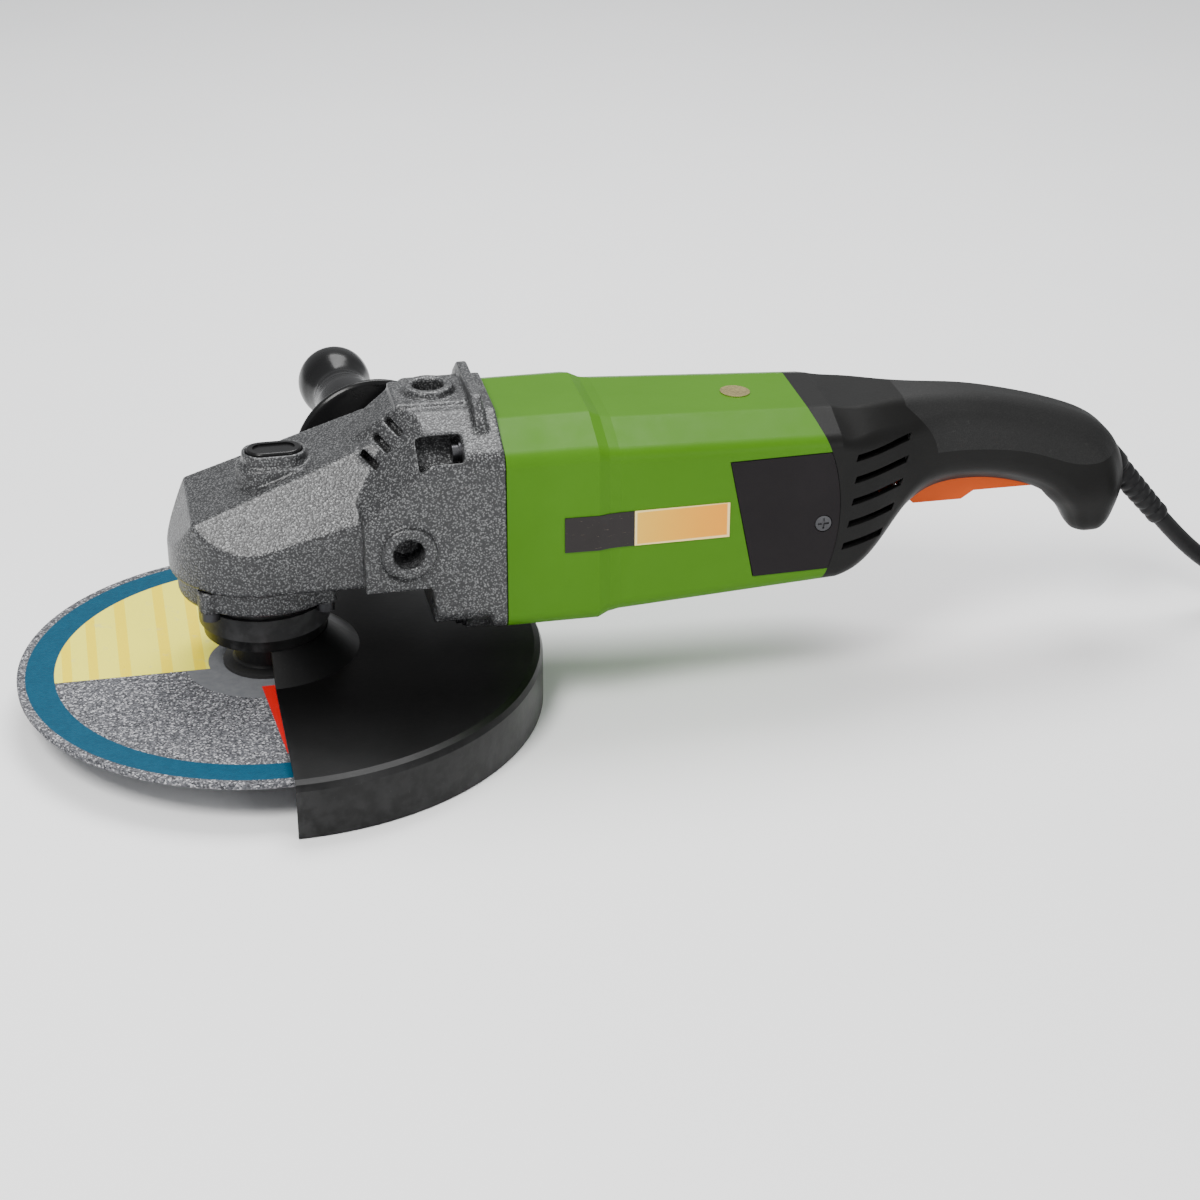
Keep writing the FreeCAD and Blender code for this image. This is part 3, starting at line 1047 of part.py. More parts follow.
def grip_region():
    """Side outline of the soft upper grip, above the parting line."""
    line = Part.BSplineCurve()
    x = REAR_SEAM_X
    line.interpolate([vec(x + 38, -80, 105.5), vec(x + 56, -80, 105.8), vec(x + 83, -80, 104.0),
                      vec(x + 108, -80, 98.5), vec(x + 126, -80, 92.5), vec(x + 137, -80, 92.5),
                      vec(x + 150, -80, 99.0), vec(x + 178, -80, 118)])
    corners = [vec(x + 178, -80, 118), vec(x + 178, -80, 160), vec(x + 38, -80, 160),
               vec(x + 38, -80, 105.5)]
    lines = [Part.LineSegment(a, b).toShape() for a, b in zip(corners, corners[1:])]
    return Part.Face(Part.Wire([line.toShape()] + lines)).extrude(vec(0, 160, 0))


def cover_slots():
    """Five slanted air slots on each side of the rear cover."""
    cuts = []
    for i in range(5):
        x0 = REAR_SEAM_X + 7.0 - 0.35 * i * i
        x1 = REAR_SEAM_X + 37.0 - 0.9 * i * i
        z = 116.0 - 10.8 * i
        width = 3.4
        slot = side_prism([(x0, z - width / 2), (x1, z + 2.0 - width / 2), (x1 + 1.5, z + 2.0 + width / 2),
                           (x0 + 1.0, z + width / 2)], -60, -18)
        cuts += both_sides(slot)
    return Part.makeCompound(cuts)


def trigger_outline(grow):
    """Side outline of the trigger."""
    return [(TRIGGER_X0 - grow, 86.0 + grow), (TRIGGER_X0 - grow, TRIGGER_LOW_Z + 4 - grow),
            (TRIGGER_X0 + 4, TRIGGER_LOW_Z - grow), (TRIGGER_X0 + 28, TRIGGER_LOW_Z - grow),
            (TRIGGER_X0 + 34, TRIGGER_HIGH_Z - grow), (TRIGGER_X1 + grow, TRIGGER_HIGH_Z - grow),
            (TRIGGER_X1 + grow, 90.0 + grow), (TRIGGER_PIN_X - 6, 92.0 + grow)]


def boot_axis():
    direction = vec(math.cos(CORD_SLOPE), 0, -math.sin(CORD_SLOPE))
    return vec(CORD_ROOT_X, 0, CORD_ROOT_Z), direction


def trigger_opening():
    """The slot in the underside that the trigger sits and swings in."""
    w = TRIGGER_HALF_WIDTH + 0.5
    x0, x1 = TRIGGER_X0 - 1.5, TRIGGER_X1 + 1.2
    return side_prism([(x0, 60), (x1, 60), (x1, 93.5), (TRIGGER_PIN_X - 6, 96.0), (x0, 96.0)], -w, w)


def handle_screw_places():
    return [(REAR_SEAM_X + 61.5, 118.0), (REAR_SEAM_X + 97.5, 111.5), (REAR_SEAM_X + 127.0, 75.0)]


def make_rear_cover(outer, inner):
    cover = outer.common(cover_region()).common(rear_region(SEAT)).cut(inner)
    cover = cover.cut(cover_slots())
    pad = block(LOCK_OFF_X - 9, LOCK_OFF_X + 4, -9, 9, 60, LOCK_OFF_SEAT_Z).common(outer)
    lock_slot = block(LOCK_OFF_X - 2.5 - LOCK_OFF_TRAVEL, LOCK_OFF_X + 2.8, -4.3, 4.3, 50,
                      LOCK_OFF_SEAT_Z + 1)
    return cover.fuse(pad).cut(lock_slot).cut(trigger_opening())


def rear_group():
    outer, inner = handle_solid(0.0), handle_solid(HANDLE_WALL)
    save("rear_cover", make_rear_cover(outer, inner))
    body = outer.cut(cover_region())
    grip_zone = grip_region()
    save("soft_grip", body.cut(handle_solid(GRIP_THICKNESS)).common(grip_zone))
    shell = body.cut(inner).cut(outer.cut(handle_solid(GRIP_THICKNESS + 3 * SEAT)).common(grip_zone))
    # ribs that carry the switch, the trigger pin and the cord
    ribs = [block(SWITCH_X0 - 3.3, SWITCH_X0 - FREE, -30, 30, 94, 125),
            block(SWITCH_X1 + FREE, SWITCH_X1 + 3.3, -30, 30, 96, 118),
            block(TRIGGER_PIN_X - 4.5, TRIGGER_PIN_X + 4.5, -30, 30, TRIGGER_PIN_Z - 4.5,
                  TRIGGER_PIN_Z + 4.5),
            block(REAR_SEAM_X + 120.0, REAR_SEAM_X + 134.0, -30, 30, 78, 100)]
    shell = shell.multiFuse([rib.common(inner) for rib in ribs]).cut(trigger_opening())
    p, d = boot_axis()
    shell = shell.cut(rod(BOOT_R0 + FIT, p - d * 6, d, 60))
    shell = shell.cut(rod(CORD_R + FREE, p - d * 40, d, 60))
    shell = shell.cut(rod(TRIGGER_PIN_R + FIT, vec(TRIGGER_PIN_X, -12.5, TRIGGER_PIN_Z), Y_DIR, 25))
    bay = SWITCH_HALF_WIDTH + FREE
    shell = shell.cut(block(SWITCH_X0 - FREE, SWITCH_X1 + FREE, -bay, bay, SWITCH_LOW_Z - FREE,
                            SWITCH_TOP_Z + FREE))
    for x, z in handle_screw_places():
        shell = shell.cut(rod(1.75 + FIT, vec(x, -11.0, z), Y_DIR, 24.0))
        shell = shell.cut(rod(3.4 + FIT, vec(x, 10.0, z), Y_DIR, 12.0))
    x0, x1 = REAR_SEAM_X - 12.0, REAR_SEAM_X + 188.0
    save("handle_shell_near", shell.common(block(x0, x1, -60, -FIT, 0, 200)))
    save("handle_shell_far", shell.common(block(x0, x1, FIT, 60, 0, 200)))
    screws = []
    for x, z in handle_screw_places():
        head = rod(3.2, vec(x, 10.0, z), Y_DIR, 2.4)
        driver_slot = block(x - 2.2, x + 2.2, 11.4, 13, z - 0.4, z + 0.4)
        screws.append(fuse([head, rod(1.75, vec(x, -10.0, z), Y_DIR, 20.2)]).cut(driver_slot))
    save("handle_screws", screws)


# ---- trigger, lock-off and switch --------------------------------------------------
def trigger_group():
    w = TRIGGER_HALF_WIDTH
    t = TRIGGER_WALL
    low, high = TRIGGER_LOW_Z + t, TRIGGER_HIGH_Z + t
    x0, x1 = TRIGGER_X0 + t, TRIGGER_PIN_X - 5
    pocket = side_prism([(x0, 95), (x0, low + 3), (x0 + 2.5, low), (TRIGGER_X0 + 27, low),
                         (TRIGGER_X0 + 33, high),
                         (x1, high), (x1, 95)], -w + 2.0, w - 2.0)
    body = side_prism(trigger_outline(0.0), -w, w).cut(pocket)
    body = body.cut(rod(TRIGGER_PIN_R + RUN, vec(TRIGGER_PIN_X, -20, TRIGGER_PIN_Z), Y_DIR, 40))
    save("trigger", body)
    save("trigger_pin", rod(TRIGGER_PIN_R, vec(TRIGGER_PIN_X, -12.4, TRIGGER_PIN_Z), Y_DIR, 24.8))
    bore = rod(PLUNGER_R + RUN, vec(PLUNGER_X, 0, 90), Z_DIR, 15)
    guide = rod(2.6, vec(PLUNGER_X, 0, SWITCH_LOW_Z - 3), Z_DIR, 3.2)
    switch = block(SWITCH_X0, SWITCH_X1, -SWITCH_HALF_WIDTH, SWITCH_HALF_WIDTH, SWITCH_LOW_Z, SWITCH_TOP_Z)
    save("switch_body", fuse([switch, guide]).cut(bore))
    plunger_low = high + FREE
    save("switch_plunger", rod(PLUNGER_R, vec(PLUNGER_X, 0, plunger_low), Z_DIR, 101.0 - plunger_low))
    spring_low = high + SEAT
    spring_length = SWITCH_LOW_Z - SEAT - spring_low
    save("trigger_spring", tube(2.8, 2.0, vec(TRIGGER_SPRING_X, 0, spring_low), Z_DIR, spring_length))
    x = LOCK_OFF_X
    top = LOCK_OFF_SEAT_Z + FREE
    lever = side_prism([(x - 2.2, top + 1), (x - 2.2, 63.0), (x + 2.2, 67.0), (x + 2.2, top + 1)], -4.0,
                       4.0)
    plate = block(x - 5.0, x + 3.0, -7.0, 7.0, top, top + 2.0)
    save("lock_off_button", fuse([lever, plate]))


# ---- side handle -------------------------------------------------------------------
def side_handle_group():
    face = BOSS_FACE + 0.1
    centre = vec(BOSS_X, 0, AXIS_Z)
    stud = rod(HANDLE_THREAD_R - FIT, vec(BOSS_X, face - 13.0, AXIS_Z), Y_DIR, 13.0 + 30.0)
    save("side_handle_stud", leaned(stud))
    # (radius, distance from the head) outline of the moulded grip
    outline = [(0, 0.0), (13.0, 0.0), (15.0, 2.0), (17.0, 5.0), (SIDE_FLANGE_R - 3, 8.0),
               (SIDE_FLANGE_R, 10.0),
               (SIDE_FLANGE_R, 12.5), (SIDE_FLANGE_R - 4, 14.0), (16.0, 18.0), (14.0, 24.0), (15.0, 36.0),
               (16.8, 58.0),
               (16.0, 76.0), (13.6, 88.0), (14.6, 95.0), (SIDE_GRIP_R, 101.0), (SIDE_GRIP_R + 0.8, 107.0),
               (SIDE_GRIP_R, 113.0), (SIDE_GRIP_R - 3.5, SIDE_GRIP_LENGTH - 1.5),
               (SIDE_GRIP_R - 7, SIDE_GRIP_LENGTH),
               (0, SIDE_GRIP_LENGTH)]
    corners = [vec(BOSS_X + r, face + s, AXIS_Z) for r, s in outline]
    lathe = Part.Face(Part.makePolygon(corners + [corners[0]]))
    grip = lathe.revolve(centre, Y_DIR, 360)
    grip = grip.cut(rod(HANDLE_THREAD_R, vec(BOSS_X, face - 1, AXIS_Z), Y_DIR, 31.0 + FIT))
    save("side_handle_grip", leaned(grip))


# ---- plates ------------------------------------------------------------------------
def plate_group():
    outer = housing_solid(-0.5, FRONT_SEAM_X, REAR_SEAM_X)
    skin = outer.cut(housing_solid(-0.02, FRONT_SEAM_X - 1, REAR_SEAM_X + 1))
    zone = side_prism([(NAMEPLATE_X0, AXIS_Z - 6.5), (NAMEPLATE_X1, AXIS_Z - 7.5),
                       (NAMEPLATE_X1, AXIS_Z + 9.5),
                       (NAMEPLATE_X0, AXIS_Z + 10.5)], -60, -20)
    save("nameplate", skin.common(zone))
    oval = rod(BADGE_R, vec(BADGE_X, 0, AXIS_Z + 20), Z_DIR, 60)
    save("top_badge", skin.common(oval))


# ---- cord --------------------------------------------------------------------------
def cord_route():
    """Corners of the cord's route from the boot down to the coil on the floor."""
    p, d = boot_axis()
    start = p + d * BOOT_LENGTH
    first = start + d * 25.0
    second = first + vec(22.7, 0, -16.5)
    coil_in_r = coil_outer_r()
    reach = math.sqrt(coil_in_r ** 2 - coil_y() ** 2)
    return [start, first, second, vec(COIL_X - reach + 2.0, 0, CORD_R + 0.05)]


def coil_centre_r():
    """Radius of the outermost turn's centre line."""
    return COIL_R + COIL_PITCH * COIL_TURNS_IN_LAYER / 2


def coil_outer_r():
    return coil_centre_r() + CORD_R + 0.1


def coil_y():
    """The coil lies on the near side, so that its outermost turn runs on from the lead."""
    return -coil_centre_r()


def route_wire(points):
    """Straight runs joined by tangent arcs, each as large as its runs allow."""
    edges = []
    here = points[0]
    for i in range(1, len(points) - 1):
        back = points[i - 1] - points[i]
        ahead = points[i + 1] - points[i]
        run = min(back.Length, ahead.Length)
        back.normalize()
        ahead.normalize()
        half_turn = (math.pi - back.getAngle(ahead)) / 2
        reach = 0.45 * run
        radius = reach / math.tan(half_turn)
        print("cord arc radius", round(radius, 1))
        start, end = points[i] + back * reach, points[i] + ahead * reach
        inward = (back + ahead).normalize()
        middle = points[i] + inward * (radius / math.cos(half_turn) - radius)
        edges.append(Part.LineSegment(here, start).toShape())
        edges.append(Part.Arc(start, middle, end).toShape())
        here = end
    edges.append(Part.LineSegment(here, points[-1]).toShape())
    return Part.Wire(edges)


def cord_group():
    p, d = boot_axis()
    neck = rod(BOOT_R0, p, d, 9.0)
    taper = Part.makeCone(BOOT_R0 - 0.6, BOOT_R1, BOOT_LENGTH - 9.0, p + d * 9.0, d)
    collar = rod(BOOT_R0 - 0.6, p - d * 5.9, d, 7.0)
    save("strain_relief", fuse([neck, taper, collar]).cut(rod(CORD_R, p - d * 8, d, BOOT_LENGTH - 4.0)))
    inside = rod(CORD_R - FIT, p - d * 14.0, d, 14.0 + BOOT_LENGTH - 12.1)
    save("cord_inner_end", inside)
    points = cord_route()
    wire = route_wire(points)
    profile = Part.Wire(Part.makeCircle(CORD_R, points[0], d))
    lead = wire.makePipeShell([profile], True, False)
    print("cord volume ratio", round(lead.Volume / (math.pi * CORD_R ** 2 * wire.Length), 4))
    height = 2 * CORD_R + COIL_PITCH
    inner_r = coil_centre_r() - COIL_PITCH * COIL_TURNS_IN_LAYER - CORD_R - 0.1
    centre = vec(COIL_X, coil_y(), 0)
    save("cord_coil", tube(coil_outer_r(), inner_r, centre, Z_DIR, height))
    # tie round the coil's bundle, and the plug beside it
    tie = block(inner_r - 2.4, coil_outer_r() + 1.4, -7, 7, 0, height + 1.4)
    hole = block(inner_r - 1.0, coil_outer_r() + 0.05, -8, 8, -1, height + 0.05)
    tie = tie.cut(hole)
    tie.rotate(vec(0, 0, 0), Z_DIR, -60)
    tie.translate(vec(COIL_X, coil_y(), 0))
    save("cord_tie", tie)
    plug_x = COIL_X - 60.0
    plug_y = coil_y() - coil_centre_r()
    plug_z = 14.3
    back = vec(-1, 0, 0)
    boot = Part.makeCone(5.4, 8.0, 18, vec(plug_x + 18.0, plug_y, plug_z), back)
    head = rod(14.0, vec(plug_x, plug_y, plug_z), back, 24)
    rim = rod(14.2, vec(plug_x - 20, plug_y, plug_z), back, 5)
    pins = [rod(2.4, vec(plug_x - 24, plug_y + side * 9.5, plug_z), back, 19.5) for side in (-1, 1)]
    save("plug", fuse([boot, head, rim] + pins))
    reach = math.sqrt(coil_outer_r() ** 2 - coil_centre_r() ** 2)
    tail_start = vec(COIL_X - reach + 2.0, plug_y, CORD_R + COIL_PITCH + 0.4)
    tail = rod(CORD_R, tail_start, back, tail_start.x - plug_x - 18.0)
    save("power_cord", [lead, tail])


spindle_group()
bearing_box_group()
guard_group()
head_group()
armature_group()
motor_group()
rear_group()
trigger_group()
side_handle_group()
plate_group()
cord_group()
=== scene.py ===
"""Looks of the angle grinder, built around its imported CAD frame. Metres."""

import json
import math

import bmesh
import bpy
from mathutils import Matrix, Vector


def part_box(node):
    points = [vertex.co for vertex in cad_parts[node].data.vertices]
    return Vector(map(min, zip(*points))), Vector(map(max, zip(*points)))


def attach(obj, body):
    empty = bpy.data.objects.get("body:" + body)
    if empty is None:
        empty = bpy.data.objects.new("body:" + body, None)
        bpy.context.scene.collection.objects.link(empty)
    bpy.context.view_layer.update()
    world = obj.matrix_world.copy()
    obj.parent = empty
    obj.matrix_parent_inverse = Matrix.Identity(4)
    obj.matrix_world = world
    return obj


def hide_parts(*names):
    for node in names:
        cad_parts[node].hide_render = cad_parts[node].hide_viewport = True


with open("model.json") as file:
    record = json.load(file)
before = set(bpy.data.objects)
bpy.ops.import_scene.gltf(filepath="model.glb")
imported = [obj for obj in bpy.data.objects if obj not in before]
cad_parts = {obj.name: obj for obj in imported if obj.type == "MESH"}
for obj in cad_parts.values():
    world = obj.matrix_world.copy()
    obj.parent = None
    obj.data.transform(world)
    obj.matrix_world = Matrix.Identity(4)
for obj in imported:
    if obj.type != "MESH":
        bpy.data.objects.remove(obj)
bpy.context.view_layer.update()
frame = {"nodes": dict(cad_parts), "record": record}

NODES = frame["nodes"]
MM = 0.001


# ---- camera and light ---------------------------------------------------------------------
CAMERA_PLACE = Vector((-0.07099, -1.07982, 0.59276))
CAMERA_AZIMUTH = math.radians(12.0)
CAMERA_DIP = 0.468
CAMERA_ROLL = 0.003
CAMERA_LENS = 78.0
WORLD_STRENGTH = 0.55
LIT_PLACE = (0.15, 0.0, 0.08)
FLOOR_HALF = 4.0
FLOOR_DROP = 0.4 * MM


def add_camera():
    camera = bpy.data.objects.new("camera", bpy.data.cameras.new("camera"))
    camera.data.lens = CAMERA_LENS
    camera.data.sensor_width = 36.0
    camera.data.clip_start = 0.01
    cos_a, sin_a = math.cos(CAMERA_AZIMUTH), math.sin(CAMERA_AZIMUTH)
    right = Vector((cos_a, -sin_a, 0.0))
    ahead = Vector((sin_a * math.cos(CAMERA_DIP), cos_a * math.cos(CAMERA_DIP), -math.sin(CAMERA_DIP)))
    down = ahead.cross(right)
    cos_r, sin_r = math.cos(CAMERA_ROLL), math.sin(CAMERA_ROLL)
    side = right * cos_r - down * sin_r
    up = -(right * sin_r + down * cos_r)
    turn = Matrix((side, up, -ahead)).transposed().to_4x4()
    camera.matrix_world = Matrix.Translation(CAMERA_PLACE) @ turn
    bpy.context.scene.collection.objects.link(camera)
    bpy.context.scene.camera = camera


def add_lamp(name, place, aim, size, power, tint=(1.0, 1.0, 1.0)):
    """A soft square lamp at place that shines towards aim."""
    data = bpy.data.lights.new(name, "AREA")
    data.size = size
    data.energy = power
    data.color = tint
    lamp = bpy.data.objects.new(name, data)
    direction = Vector(aim) - Vector(place)
    lamp.matrix_world = Matrix.Translation(place) @ direction.to_track_quat("-Z", "Y").to_matrix().to_4x4()
    bpy.context.scene.collection.objects.link(lamp)


def add_light():
    world = bpy.data.worlds.new("studio")
    world.use_nodes = True
    background = world.node_tree.nodes["Background"]
    background.inputs["Color"].default_value = (0.97, 0.98, 1.0, 1.0)
    background.inputs["Strength"].default_value = WORLD_STRENGTH
    bpy.context.scene.world = world
    add_lamp("key", (-0.50, -0.70, 1.25), LIT_PLACE, 0.55, 25.0, (1.0, 0.99, 0.97))
    add_lamp("back", (0.30, 0.62, 1.45), LIT_PLACE, 0.9, 28.0)
    add_lamp("front", (0.75, -1.25, 0.55), LIT_PLACE, 0.5, 5.0)


def add_floor():
    mesh = bpy.data.meshes.new("floor")
    corners = [(x * FLOOR_HALF, y * FLOOR_HALF, 0) for x, y in ((-1, -1), (1, -1), (1, 1), (-1, 1))]
    mesh.from_pydata(corners, [], [(0, 1, 2, 3)])
    floor = bpy.data.objects.new("floor", mesh)
    floor.location.z = -FLOOR_DROP
    bpy.context.scene.collection.objects.link(floor)
    look = Look("floor_paper")
    tone = look.ramp(look.noise(6.0, 3.0), [(0.3, (0.93, 0.935, 0.94)), (0.7, (0.95, 0.955, 0.96))])
    look.paint(tone, 0.85)
    floor.data.materials.append(look.material)


# ---- material building ----------------------------------------------------------------------
# places of the colour sockets among all the sockets of a mix node
MIX_COLOUR_A = 6
MIX_COLOUR_B = 7
MIX_COLOUR_OUT = 2
PRINT_EDGE = 0.15 * MM


class Look:
    """A procedural material under construction. Textures are placed in the row frame, in metres."""

    def __init__(self, name):
        self.material = bpy.data.materials.new(name)
        self.material.use_nodes = True
        self.tree = self.material.node_tree
        self.shader = self.tree.nodes["Principled BSDF"]
        self.place = self.add("ShaderNodeTexCoord").outputs["Object"]

    def add(self, kind, **settings):
        node = self.tree.nodes.new(kind)
        for key, value in settings.items():
            setattr(node, key, value)
        return node

    def feed(self, socket, value):
        """Links a socket, or sets it where the value is a plain number or colour."""
        if isinstance(value, bpy.types.NodeSocket):
            self.tree.links.new(value, socket)
        elif isinstance(value, tuple) and len(value) == 3 and len(socket.default_value) == 4:
            socket.default_value = (*value, 1.0)
        else:
            socket.default_value = value

    def noise(self, scale, detail=2.0, roughness=0.5, distortion=0.0, place=None):
        node = self.add("ShaderNodeTexNoise")
        self.feed(node.inputs["Vector"], place or self.place)
        settings = {"Scale": scale, "Detail": detail, "Roughness": roughness, "Distortion": distortion}
        for key, value in settings.items():
            node.inputs[key].default_value = value
        return node.outputs["Fac"]

    def cells(self, scale, feature="F1", output="Distance"):
        node = self.add("ShaderNodeTexVoronoi", feature=feature)
        self.feed(node.inputs["Vector"], self.place)
        node.inputs["Scale"].default_value = scale
        return node.outputs[output]

    def stretched(self, x, y, z):
        """The place with its axes scaled, for grain that runs one way."""
        node = self.add("ShaderNodeVectorMath", operation="MULTIPLY")
        self.feed(node.inputs[0], self.place)
        node.inputs[1].default_value = (x, y, z)
        return node.outputs["Vector"]

    def math(self, operation, a, b=0.0):
        node = self.add("ShaderNodeMath", operation=operation)
        self.feed(node.inputs[0], a)
        self.feed(node.inputs[1], b)
        return node.outputs[0]

    def between(self, value, low, high):
        """1 where value lies between low and high, with the soft edge of print."""
        rise = self.fade(value, low - PRINT_EDGE, low + PRINT_EDGE)
        fall = self.fade(value, high + PRINT_EDGE, high - PRINT_EDGE)
        return self.math("MULTIPLY", rise, fall)

    def fade(self, value, start, end, low=0.0, high=1.0):
        """low at start to high at end, clamped."""
        node = self.add("ShaderNodeMapRange")
        for key, number in (("From Min", start), ("From Max", end), ("To Min", low), ("To Max", high)):
            node.inputs[key].default_value = number
        self.feed(node.inputs["Value"], value)
        return node.outputs["Result"]

    def ramp(self, value, stops):
        node = self.add("ShaderNodeValToRGB")
        elements = node.color_ramp.elements
        while len(elements) < len(stops):
            elements.new(0.5)
        for element, (at, colour) in zip(elements, stops):
            element.position = at
            element.color = (*colour, 1.0)
        self.feed(node.inputs["Fac"], value)
        return node.outputs["Color"]

    def mix(self, share, a, b):
        """Colour a where share is 0, and b where it is 1."""
        node = self.add("ShaderNodeMix", data_type="RGBA")
        self.feed(node.inputs["Factor"], share)
        self.feed(node.inputs[MIX_COLOUR_A], a)
        self.feed(node.inputs[MIX_COLOUR_B], b)
        return node.outputs[MIX_COLOUR_OUT]

    def axes(self):
        node = self.add("ShaderNodeSeparateXYZ")
        self.feed(node.inputs[0], self.place)
        return node.outputs["X"], node.outputs["Y"], node.outputs["Z"]

    def bump(self, *layers):
        """Stacks (height, distance in metres) layers into one normal."""
        normal = None
        for height, distance in layers:
            node = self.add("ShaderNodeBump")
            node.inputs["Strength"].default_value = 1.0
            node.inputs["Distance"].default_value = distance
            self.feed(node.inputs["Height"], height)
            if normal is not None:
                self.feed(node.inputs["Normal"], normal)
            normal = node.outputs["Normal"]
        self.feed(self.shader.inputs["Normal"], normal)

    def wear(self, low, high):
        """1 on outside edges, broken up so that it looks rubbed."""
        edge = self.fade(self.add("ShaderNodeNewGeometry").outputs["Pointiness"], low, high)
        patches = self.fade(self.noise(160.0, 4.0), 0.42, 0.6)
        return self.math("MULTIPLY", edge, patches)

    def paint(self, colour, roughness, metallic=0.0, **settings):
        """Feeds the shader. Other settings are plain numbers named as the shader's sockets."""
        self.feed(self.shader.inputs["Base Color"], colour)
        self.feed(self.shader.inputs["Roughness"], roughness)
        self.feed(self.shader.inputs["Metallic"], metallic)
        for key, value in settings.items():
            self.feed(self.shader.inputs[key.replace("_", " ").title().replace("Ior", "IOR")], value)
        return self.material


def moulded(name, colour, roughness, grain=900.0, depth=0.00003, spread=0.06, gloss=0.0, shine=0.14):
    """Moulded plastic: fine spark-eroded grain, faint flow marks and rubbed patches."""
    look = Look(name)
    flow = look.noise(14.0, 4.0, 0.55, 0.6)
    dark = tuple(c * (1.0 - spread) for c in colour)
    light = tuple(min(1.0, c * (1.0 + spread) + 0.002) for c in colour)
    base = look.ramp(flow, [(0.3, dark), (0.7, light)])
    specks = look.fade(look.cells(2600.0), 0.0, 0.5)
    base = look.mix(0.05, base, look.ramp(specks, [(0.0, light), (1.0, dark)]))
    rubbed = look.noise(55.0, 5.0, 0.6)
    rough = look.fade(rubbed, 0.3, 0.7, roughness - 0.05, roughness + 0.06)
    grainy = look.noise(grain, 3.0, 0.6)
    swell = look.noise(60.0, 2.0)
    look.bump((swell, 0.00006), (grainy, depth))
    settings = {"coat_weight": gloss, "coat_roughness": 0.12} if gloss else {}
    return look.paint(base, rough, specular_ior_level=shine, **settings)


def metal(name, colour, roughness, along=(1.0, 1.0, 1.0), depth=0.000012, stain=0.35):
    """Bare or plated metal with turning marks that run across the along axis."""
    look = Look(name)
    streaks = look.noise(420.0, 4.0, 0.65, 0.0, look.stretched(*along))
    clouds = look.noise(38.0, 4.0, 0.6)
    dull = tuple(c * (1.0 - stain) for c in colour)
    base = look.mix(look.fade(clouds, 0.45, 0.75), colour, dull)
    base = look.mix(look.fade(streaks, 0.3, 0.7, 0.0, 0.25), base, tuple(c * 0.6 for c in colour))
    rough = look.fade(streaks, 0.25, 0.75, roughness - 0.07, roughness + 0.12)
    look.bump((streaks, depth))
    return look.paint(base, rough, 1.0)


def hammered(name):
    """Grey hammer-finish paint over a casting: bright flakes in dark cell walls."""
    look = Look(name)
    wobble = look.noise(650.0, 2.0)
    cells = look.cells(1150.0, "SMOOTH_F1")
    walls = look.fade(cells, 0.12, 0.62)
    mottle = look.noise(1500.0, 3.0, 0.7, 0.5)
    tone = look.math("ADD", look.math("MULTIPLY", walls, 0.55), look.math("MULTIPLY", mottle, 0.6))
    base = look.ramp(tone,
                     [(0.32, (0.19, 0.193, 0.196)), (0.5, (0.086, 0.088, 0.090)),
                      (0.68, (0.026, 0.0265, 0.028))])
    flakes = look.fade(look.cells(1500.0), 0.16, 0.06)
    base = look.mix(look.math("MULTIPLY", flakes, 0.3), base, (0.34, 0.345, 0.35))
    base = look.mix(look.wear(0.53, 0.66), base, (0.32, 0.325, 0.33))
    grime = look.fade(look.noise(26.0, 5.0, 0.6), 0.35, 0.75, 0.0, 0.22)
    base = look.mix(grime, base, (0.03, 0.03, 0.03))
    rough = look.fade(mottle, 0.3, 0.7, 0.30, 0.48)
    look.bump((wobble, 0.00016), (cells, 0.00022), (look.noise(90.0, 3.0), 0.0003))
    return look.paint(base, rough, 0.35, coat_weight=0.12, coat_roughness=0.25, specular_ior_level=0.35)


def satin_paint(name, colour, roughness):
    """Stoved black paint on sheet steel, with faint orange peel, dust and rubbed edges."""
    look = Look(name)
    dust = look.fade(look.noise(900.0, 2.0), 0.68, 0.8, 0.0, 0.5)
    smear = look.fade(look.noise(20.0, 5.0, 0.6), 0.45, 0.8, 0.1, 0.25)
    base = look.mix(look.math("MULTIPLY", dust, smear), colour, (0.14, 0.135, 0.13))
    base = look.mix(look.math("MULTIPLY", look.wear(0.55, 0.7), 0.25), base, (0.10, 0.10, 0.103))
    rough = look.fade(look.noise(45.0, 6.0, 0.65), 0.3, 0.7, roughness - 0.02, roughness + 0.04)
    scratches = look.fade(look.noise(160.0, 5.0, 0.7, 0.0, look.stretched(9.0, 0.6, 4.0)), 0.66, 0.72)
    look.bump((look.noise(420.0, 2.0), 0.00004), (scratches, 0.00001))
    return look.paint(base, rough, 0.0, specular_ior_level=0.22)


def grained_rubber(name, colour):
    """Soft grip: fine leather-like grain with a dull sheen."""
    look = Look(name)
    flow = look.noise(30.0, 4.0, 0.6)
    base = look.ramp(flow, [(0.3, tuple(c * 0.8 for c in colour)), (0.7, tuple(c * 1.25 for c in colour))])
    pores = look.cells(1700.0)
    base = look.mix(look.fade(pores, 0.35, 0.7, 0.0, 0.45), base, tuple(c * 2.0 + 0.004 for c in colour))
    dust = look.fade(look.noise(240.0, 5.0, 0.7), 0.62, 0.8, 0.0, 0.25)
    base = look.mix(dust, base, (0.07, 0.07, 0.065))
    rough = look.fade(flow, 0.3, 0.7, 0.55, 0.68)
    look.bump((look.noise(45.0, 2.0), 0.00012), (pores, 0.00009), (look.noise(1500.0, 2.0), 0.00004))
    return look.paint(base, rough, 0.0, specular_ior_level=0.3)


